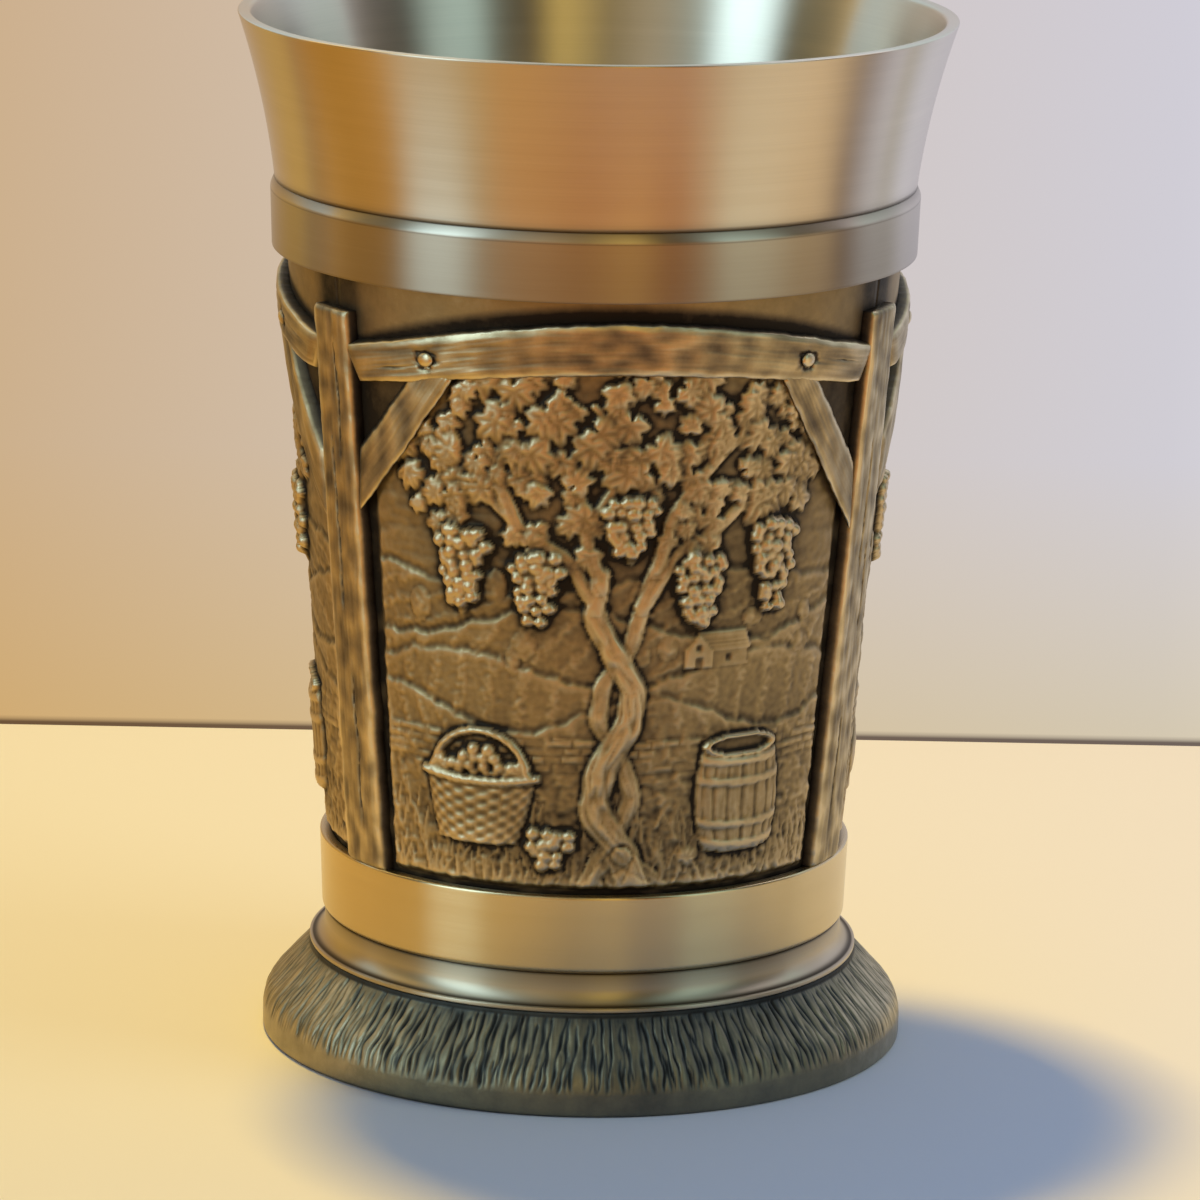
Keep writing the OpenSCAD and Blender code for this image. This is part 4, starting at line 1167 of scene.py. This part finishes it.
skirt_turn = np.linspace(0, 2 * np.pi, skirt_around, endpoint=False)[None, :]
run = np.concatenate([[0], np.cumsum(np.hypot(*np.diff(skirt_line, axis=0).T))])[:, None]
edge_run = run[len(edge_line)]
top_run = run[len(edge_line) + len(shoulder_arc) + len(slope_line) - 1]
way = np.gradient(skirt_line, axis=0)
way /= np.linalg.norm(way, axis=1)[:, None]


def ring_drift(a, times, v, seed):
    """Noise that closes on itself round the cup: drift at the angle a and at a less a full
    turn, blended over the last sixth of the turn."""
    blend = np.clip((a - 5 * np.pi / 3) / (np.pi / 3), 0, 1)
    first = drift(a * times, v, seed)
    second = drift((a - 2 * np.pi) * times, v, seed)
    return first * np.sqrt(1 - blend) + second * np.sqrt(blend)


def strokes(count, seed, first, last, widths, depths):
    """Chisel strokes down the slope, one to each of count even parts of the turn: a stroke
    runs from a start between first[0] and first[1] to an end between last[0] and last[1],
    in shares of the slope, and wanders a little. Across it the cut is a bell curve as wide
    as one of the widths, in millimetres, and its depth fades towards the lower end."""
    rng = np.random.default_rng(seed)
    total = np.zeros((len(skirt_line), skirt_around))
    way_down = down / slope_run
    pitch = 2 * np.pi / count
    for k in range(count):
        start, end = rng.uniform(*first), rng.uniform(*last)
        middle = pitch * (k + rng.uniform(0.15, 0.85))
        lean = (0.020 * math.sin(3 * middle + seed) + 0.012 * math.sin(11 * middle)
                + rng.normal(0, 0.005))
        wave = (0.004 * np.sin(rng.uniform(4, 9) * way_down + rng.uniform(0, 6))
                + 0.0022 * np.sin(rng.uniform(12, 20) * way_down + rng.uniform(0, 6)))
        wide, deep = rng.uniform(*widths) / foot_top_r, rng.uniform(*depths)
        line = middle + lean * way_down + wave
        far = (skirt_turn - line + np.pi) % (2 * np.pi) - np.pi
        press = np.clip((way_down - start) / 0.06, 0, 1) * np.clip((end - way_down) / 0.25, 0, 1)
        press = press * (0.78 + 0.22 * np.sin(rng.uniform(9, 17) * way_down + rng.uniform(0, 6)))
        near = np.abs(far[len(far) // 2]) < 0.09
        cut = deep * press * np.exp(-(far[:, near] / (wide * (0.45 + 0.55 * press))) ** 2)
        total[:, near] = np.maximum(total[:, near], cut)
    return total


# Long strokes from the collar, shorter ones between them, and less of both on the two sides,
# which are also painted lighter as painted light
down = top_run - run
slope_run = top_run - edge_run
cuts = np.maximum(strokes(225, 301, (-0.1, 0.10), (0.90, 1.40), (0.10, 0.19), (0.45, 1.0)),
                  strokes(190, 302, (0.20, 0.60), (0.95, 1.40), (0.08, 0.15), (0.2, 0.7)))
# The two sides get fewer cuts and are painted lighter below, as painted light
sides = np.clip((np.abs(np.sin(skirt_turn)) - 0.50) / 0.42, 0, 1)
cuts = cuts * (1 - 0.35 * sides)
grain = ring_drift(skirt_turn, 120, down / 2.0, 321)
worked = np.clip((run - edge_run) / 0.9, 0, 1) * np.clip((down - 0.05) / 0.15, 0, 1)
swell = ring_drift(skirt_turn, 26, down / 4.0, 322)
cutting = worked * np.clip(0.30 * cuts + 0.03 * grain + 0.05 - 0.05 * swell, 0, 0.6)
r = skirt_line[:, :1] - cutting * way[:, 1:]
z = skirt_line[:, 1:] + cutting * way[:, :1]
points = np.stack([r * np.sin(skirt_turn), -r * np.cos(skirt_turn), z + 0 * r], -1)
# Painted shade: darker under the collar, on the line where the slope meets it, inside the foot and
# at the inner edge of its bottom; the dark of the cuts is patina
painted_shade_under_collar = 0.22 * np.exp(-np.clip(down, 0, None) / 1.4)
hollow = (0.53 - 0.24 * sides - 0.06 * worked
          + worked * (0.76 * cuts - 0.12 * grain - 0.08 * swell + painted_shade_under_collar))
hollow = np.where(run > top_run, 0.85, hollow)
hollow = np.maximum(hollow, 0.9 * np.exp(-np.abs(top_run - run) / 0.3) * (run < top_run + 0.1))
hollow = np.clip(np.maximum(hollow, 0.8 * np.exp(-(run / 0.9) ** 2)), 0, 1)
skirt_metal = cast_pewter("cast_pewter_foot", [
    (0.15, (0.52, 0.46, 0.34)), (0.42, (0.225, 0.205, 0.135)), (0.70, (0.062, 0.067, 0.058)),
    (0.95, (0.010, 0.012, 0.011))], 0.36, 0.58)
skirt_faces = grid_faces(len(skirt_line), skirt_around, wrap_rows=True, wrap_columns=True)
piece("skirt", points, skirt_faces, skirt_metal, "foot_pewter", "foot_skirt", hollow=hollow)


# Base plate. A plain disc set up inside the foot and soldered to its ledge, turned with a
# shallow step round its middle.
base_z, base_top_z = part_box("base_plate")[0].z / mm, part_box("base_plate")[1].z / mm
base_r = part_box("base_plate")[1].x / mm
step_r, step_w, step_h = 20, 1, 0.15
pole_r = 0.8
base_outline = np.concatenate([
    [[0, base_z + step_h]],
    eased([[pole_r, base_z + step_h], [step_r - step_w, base_z + step_h], [step_r, base_z],
           [base_r, base_z], [base_r, base_top_z], [pole_r, base_top_z]], 0.25),
    [[0, base_top_z]]])


def base_painted_shade(r, z):
    """Painted shade: dark towards the soldered edge, and a little in the step."""
    return np.clip(0.5 * np.exp(-(base_r - r) / 1.2)
                   + 0.25 * np.exp(-((r - 19.4) / 0.5) ** 2), 0, 1)


# The base plate's metal is the lower band's, painted golden as a painted reflection
turned("base", base_outline, lower_band_metal, "turned_pewter", "base_plate", base_painted_shade)


# Camera. It stands in front of the first panel, a little to its left and above the rim, so
# near that the back of the lip falls outside the frame, as in the photograph.
view_turn = math.radians(-5.5)
camera_place = (-0.0617, -0.6533, 0.19794)
camera_dip, camera_roll = 0.2293, 0.0186
camera_data = bpy.data.cameras.new("camera")
camera_data.sensor_width = 36
camera_data.lens = 198.75
camera = bpy.data.objects.new("camera", camera_data)
camera.matrix_world = (
    Matrix.Translation(camera_place) @ Matrix.Rotation(view_turn, 4, "Z")
    @ Matrix.Rotation(math.pi / 2 - camera_dip, 4, "X") @ Matrix.Rotation(camera_roll, 4, "Z"))
bpy.context.scene.collection.objects.link(camera)
bpy.context.scene.camera = camera


# Stage. A pale table top, and a pale wall close behind the cup. Only a view from in front of
# the wall and the metal see it, so it neither hides the cup from behind nor shades it. To
# the metal the table ends a hand's width from the cup, where the room begins.
table_reach, table_fade = 0.130, 0.015
wall_back, wall_half_w, wall_h = 0.120, 0.5, 0.25


def backdrop(name, corners, material):
    """A flat four-cornered sheet, turned to face the camera, with corners in metres."""
    turn = Matrix.Rotation(view_turn, 4, "Z")
    mesh = bpy.data.meshes.new(name)
    mesh.from_pydata([turn @ Vector(corner) for corner in corners], [], [(0, 1, 2, 3)])
    mesh.materials.append(material)
    thing = bpy.data.objects.new(name, mesh)
    bpy.context.scene.collection.objects.link(thing)


def either(tree, factor, first, second):
    """Makes the surface the first shader where factor is 0 and the second where it is 1."""
    choice = tree.nodes.new("ShaderNodeMixShader")
    for value, socket in zip((factor, first.outputs[0], second.outputs[0]), choice.inputs):
        tree.links.new(value, socket)
    tree.links.new(choice.outputs[0], tree.nodes["Material Output"].inputs["Surface"])


# The table's colour is painted warmer on the left and cooler on the right, as painted light;
# in the metal it is painted golden at the left, a painted reflection of the lit table, and
# see-through there beyond table_reach
table_paint, tree, shader = new_material("pale_table")
place = object_place(tree)
x = taken_apart(tree, place)[0]
path = tree.nodes.new("ShaderNodeLightPath")
# In the metal, painted gold on the left: a painted reflection
painted_gold_reflection = sums(tree, "MULTIPLY", path.outputs["Is Glossy Ray"], sums(tree, "MULTIPLY", x, -14.0))
# Painted light: warmer on the left, cooler on the right
painted_light_ramp = ramp(tree, sums(tree, "MULTIPLY_ADD", x, 4.0, 0.5),
             [(0.0, (0.92, 0.79, 0.34)), (1.0, (0.91, 0.82, 0.54))])
tree.links.new(mixed(tree, painted_gold_reflection, painted_light_ramp, (1.0, 0.70, 0.20)), shader.inputs["Base Color"])
shader.inputs["Roughness"].default_value = 0.8
shader.inputs["Specular IOR Level"].default_value = 0.15
off_axis = tree.nodes.new("ShaderNodeVectorMath")
off_axis.operation = "LENGTH"
tree.links.new(place, off_axis.inputs[0])
past_reach = sums(tree, "SUBTRACT", off_axis.outputs["Value"], table_reach)
beyond = sums(tree, "SMOOTH_MIN", 1.0, sums(
    tree, "MAXIMUM", 0.0, sums(tree, "DIVIDE", past_reach, table_fade)))
either(tree, sums(tree, "MULTIPLY", path.outputs["Is Glossy Ray"], beyond), shader,
       tree.nodes.new("ShaderNodeBsdfTransparent"))
backdrop("table", [(-1.5, -1.5, 0), (1.5, -1.5, 0), (1.5, 1.5, 0), (-1.5, 1.5, 0)], table_paint)

# The wall glows by itself, as painted light: a colour by its width, painted warm light on the
# left and cool on the right, times one by its height, with a painted shadow line at the table
# and painted warm light just above it. The view sees only its middle, and the metal sees it
# whole and paler on top, a painted reflection
wall_paint, tree, shader = new_material("pale_wall")
wall_paint.cycles.emission_sampling = "NONE"
tree.nodes.remove(shader)
x, y, z = taken_apart(tree, object_place(tree))
painted_light_by_width = ramp(tree, sums(tree, "MULTIPLY_ADD", x, 2.0, 0.5), [
    (0.02, (0.50, 0.32, 0.10)), (0.12, (0.76, 0.48, 0.13)), (0.22, (0.70, 0.43, 0.11)),
    (0.34, (0.60, 0.40, 0.21)), (0.50, (0.64, 0.54, 0.46)), (0.66, (0.63, 0.61, 0.68)),
    (0.80, (0.85, 0.86, 1.00)), (0.92, (0.60, 0.60, 0.66))])
painted_light_and_shade_by_height = ramp(tree, sums(tree, "MULTIPLY", z, 10.0), [
    (0.004, (0.25, 0.20, 0.15)), (0.010, (1.04, 0.94, 0.64)), (0.35, (1.0, 1.0, 0.97)),
    (1.0, (1.0, 1.0, 1.0))])
colour = tree.nodes.new("ShaderNodeMix")
colour.data_type = "RGBA"
colour.blend_type = "MULTIPLY"
colour.inputs["Factor"].default_value = 1.0
tree.links.new(painted_light_by_width, colour.inputs[6])
tree.links.new(painted_light_and_shade_by_height, colour.inputs[7])
path = tree.nodes.new("ShaderNodeLightPath")
# For the metal the wall's upper part is painted pale blue, a painted reflection
painted_reflection_high_up = sums(tree, "MULTIPLY", path.outputs["Is Glossy Ray"],
               sums(tree, "MULTIPLY_ADD", z, 30.0, -3.6))
glow = tree.nodes.new("ShaderNodeEmission")
tree.links.new(mixed(tree, painted_reflection_high_up, colour.outputs[2], (0.78, 0.95, 1.0)), glow.inputs["Color"])
to_side = sums(tree, "MULTIPLY_ADD", sums(tree, "ABSOLUTE", x), -6.25, 2.25)
middle = sums(tree, "MINIMUM", 1.0, sums(tree, "MAXIMUM", 0.0, to_side))
seen = sums(tree, "MAXIMUM", sums(tree, "MULTIPLY", path.outputs["Is Camera Ray"], middle),
            path.outputs["Is Glossy Ray"])
back = tree.nodes.new("ShaderNodeNewGeometry").outputs["Backfacing"]
either(tree, sums(tree, "MULTIPLY", seen, sums(tree, "SUBTRACT", 1.0, back)),
       tree.nodes.new("ShaderNodeBsdfTransparent"), glow)
backdrop("wall", [(-wall_half_w, wall_back, 0), (wall_half_w, wall_back, 0),
                  (wall_half_w, wall_back, wall_h), (-wall_half_w, wall_back, wall_h)],
         wall_paint)


# Light. A small lamp high up behind the cup and a weak cool one at its right, which the
# metal doesn't mirror, and a room round them: amber in front and on the left, cool on the
# right, with a tall window at the left. The metal sees it; the rest is lit by its cool mean.
aim_z = 0.05


def lamp(name, azimuth, elevation, distance, size, level, colour):
    """A soft rectangular lamp that faces the cup, azimuth degrees to the right of the camera
    and elevation degrees up. Its power in watts is pi times level times its area."""
    data = bpy.data.lights.new(name, "AREA")
    data.shape = "RECTANGLE"
    data.size, data.size_y = size
    data.energy = level * math.pi * size[0] * size[1]
    data.color = colour
    thing = bpy.data.objects.new(name, data)
    turn, rise = view_turn + math.radians(azimuth), math.radians(elevation)
    place = Vector((distance * math.sin(turn) * math.cos(rise),
                    -distance * math.cos(turn) * math.cos(rise),
                    aim_z + distance * math.sin(rise)))
    aim = (Vector((0, 0, aim_z)) - place).to_track_quat("-Z", "Y")
    thing.matrix_world = Matrix.Translation(place) @ aim.to_matrix().to_4x4()
    thing.visible_glossy = False
    thing.visible_camera = False
    bpy.context.scene.collection.objects.link(thing)


lamp("key", -152.4, 74.1, 0.631, (0.07, 0.07), 235.0, (1.0, 0.75, 0.20))
lamp("cool_side", 72, 30, 0.40, (0.2, 0.3), 3.4, (0.42, 0.56, 1.0))

room = bpy.data.worlds.new("room")
room.use_nodes = True
room.cycles.sampling_method = "NONE"
tree = room.node_tree
x, y, z = taken_apart(tree, tree.nodes.new("ShaderNodeTexCoord").outputs["Generated"])
turned_by = sums(tree, "ARCTAN2", x, sums(tree, "MULTIPLY", y, -1.0))
round_room = sums(tree, "FRACT", sums(
    tree, "MULTIPLY_ADD", turned_by, 0.5 / math.pi, 1.5 - view_turn / (2 * math.pi)))


def by_azimuth(*stops):
    """A ramp round the room: stops are (degrees to the right of the camera, colour)."""
    return ramp(tree, round_room, [(0.5 + degrees / 360, colour) for degrees, colour in stops])


low_room = by_azimuth(
    (-178, (0.70, 0.60, 0.50)), (-148, (0.76, 0.58, 0.40)), (-125, (0.56, 0.25, 0.02)),
    (-80, (0.76, 0.34, 0.03)), (-65, (0.60, 0.41, 0.18)), (-46, (0.61, 0.39, 0.14)),
    (-32, (0.78, 0.31, 0.05)), (2, (0.72, 0.21, 0.035)), (31, (0.80, 0.28, 0.05)),
    (50, (1.05, 0.78, 0.44)), (91, (1.18, 0.88, 0.52)), (97, (0.42, 0.25, 0.12)),
    (106, (0.38, 0.32, 0.28)), (126, (0.90, 0.90, 1.05)), (178, (0.70, 0.65, 0.60)))
high_room = by_azimuth(
    (-176, (0.90, 0.66, 0.30)), (-144, (3.2, 2.05, 0.5)), (-110, (1.3, 0.92, 0.36)),
    (-94, (0.16, 0.18, 0.14)), (-74, (0.16, 0.18, 0.14)), (-64, (2.4, 3.3, 3.7)),
    (-50, (2.2, 3.0, 3.3)), (-41, (0.48, 0.56, 0.50)), (-20, (0.66, 0.56, 0.36)),
    (-4, (0.44, 0.34, 0.15)), (15, (1.10, 0.82, 0.24)), (26, (0.10, 0.08, 0.04)),
    (40, (0.12, 0.11, 0.06)), (48, (0.80, 1.12, 1.10)), (64, (0.66, 0.92, 0.90)),
    (76, (0.03, 0.045, 0.035)), (98, (0.04, 0.05, 0.04)), (112, (1.3, 1.23, 1.36)),
    (138, (2.6, 2.45, 2.7)), (178, (0.80, 0.66, 0.42)))
ceiling = (0.075, 0.145, 0.185)
fill = by_azimuth((-178, (0.16, 0.245, 0.70)), (-90, (0.13, 0.21, 0.64)),
                  (90, (0.16, 0.245, 0.72)), (178, (0.16, 0.245, 0.70)))
up = sums(tree, "MULTIPLY_ADD", z, 2.2, 0.6)
over = sums(tree, "MULTIPLY_ADD", z, 6.0, -4.8)
path = tree.nodes.new("ShaderNodeLightPath")
metal_sees = mixed(tree, over, mixed(tree, up, low_room, high_room), ceiling)
camera_sees = ramp(tree, z, [(0.30, (0.50, 0.42, 0.36)), (0.80, (0.13, 0.14, 0.15))])
lit_by = mixed(tree, path.outputs["Is Glossy Ray"], fill, metal_sees)
tree.links.new(mixed(tree, path.outputs["Is Camera Ray"], lit_by, camera_sees),
               tree.nodes["Background"].inputs["Color"])
bpy.context.scene.world = room
bpy.context.scene.view_settings.view_transform = "Standard"
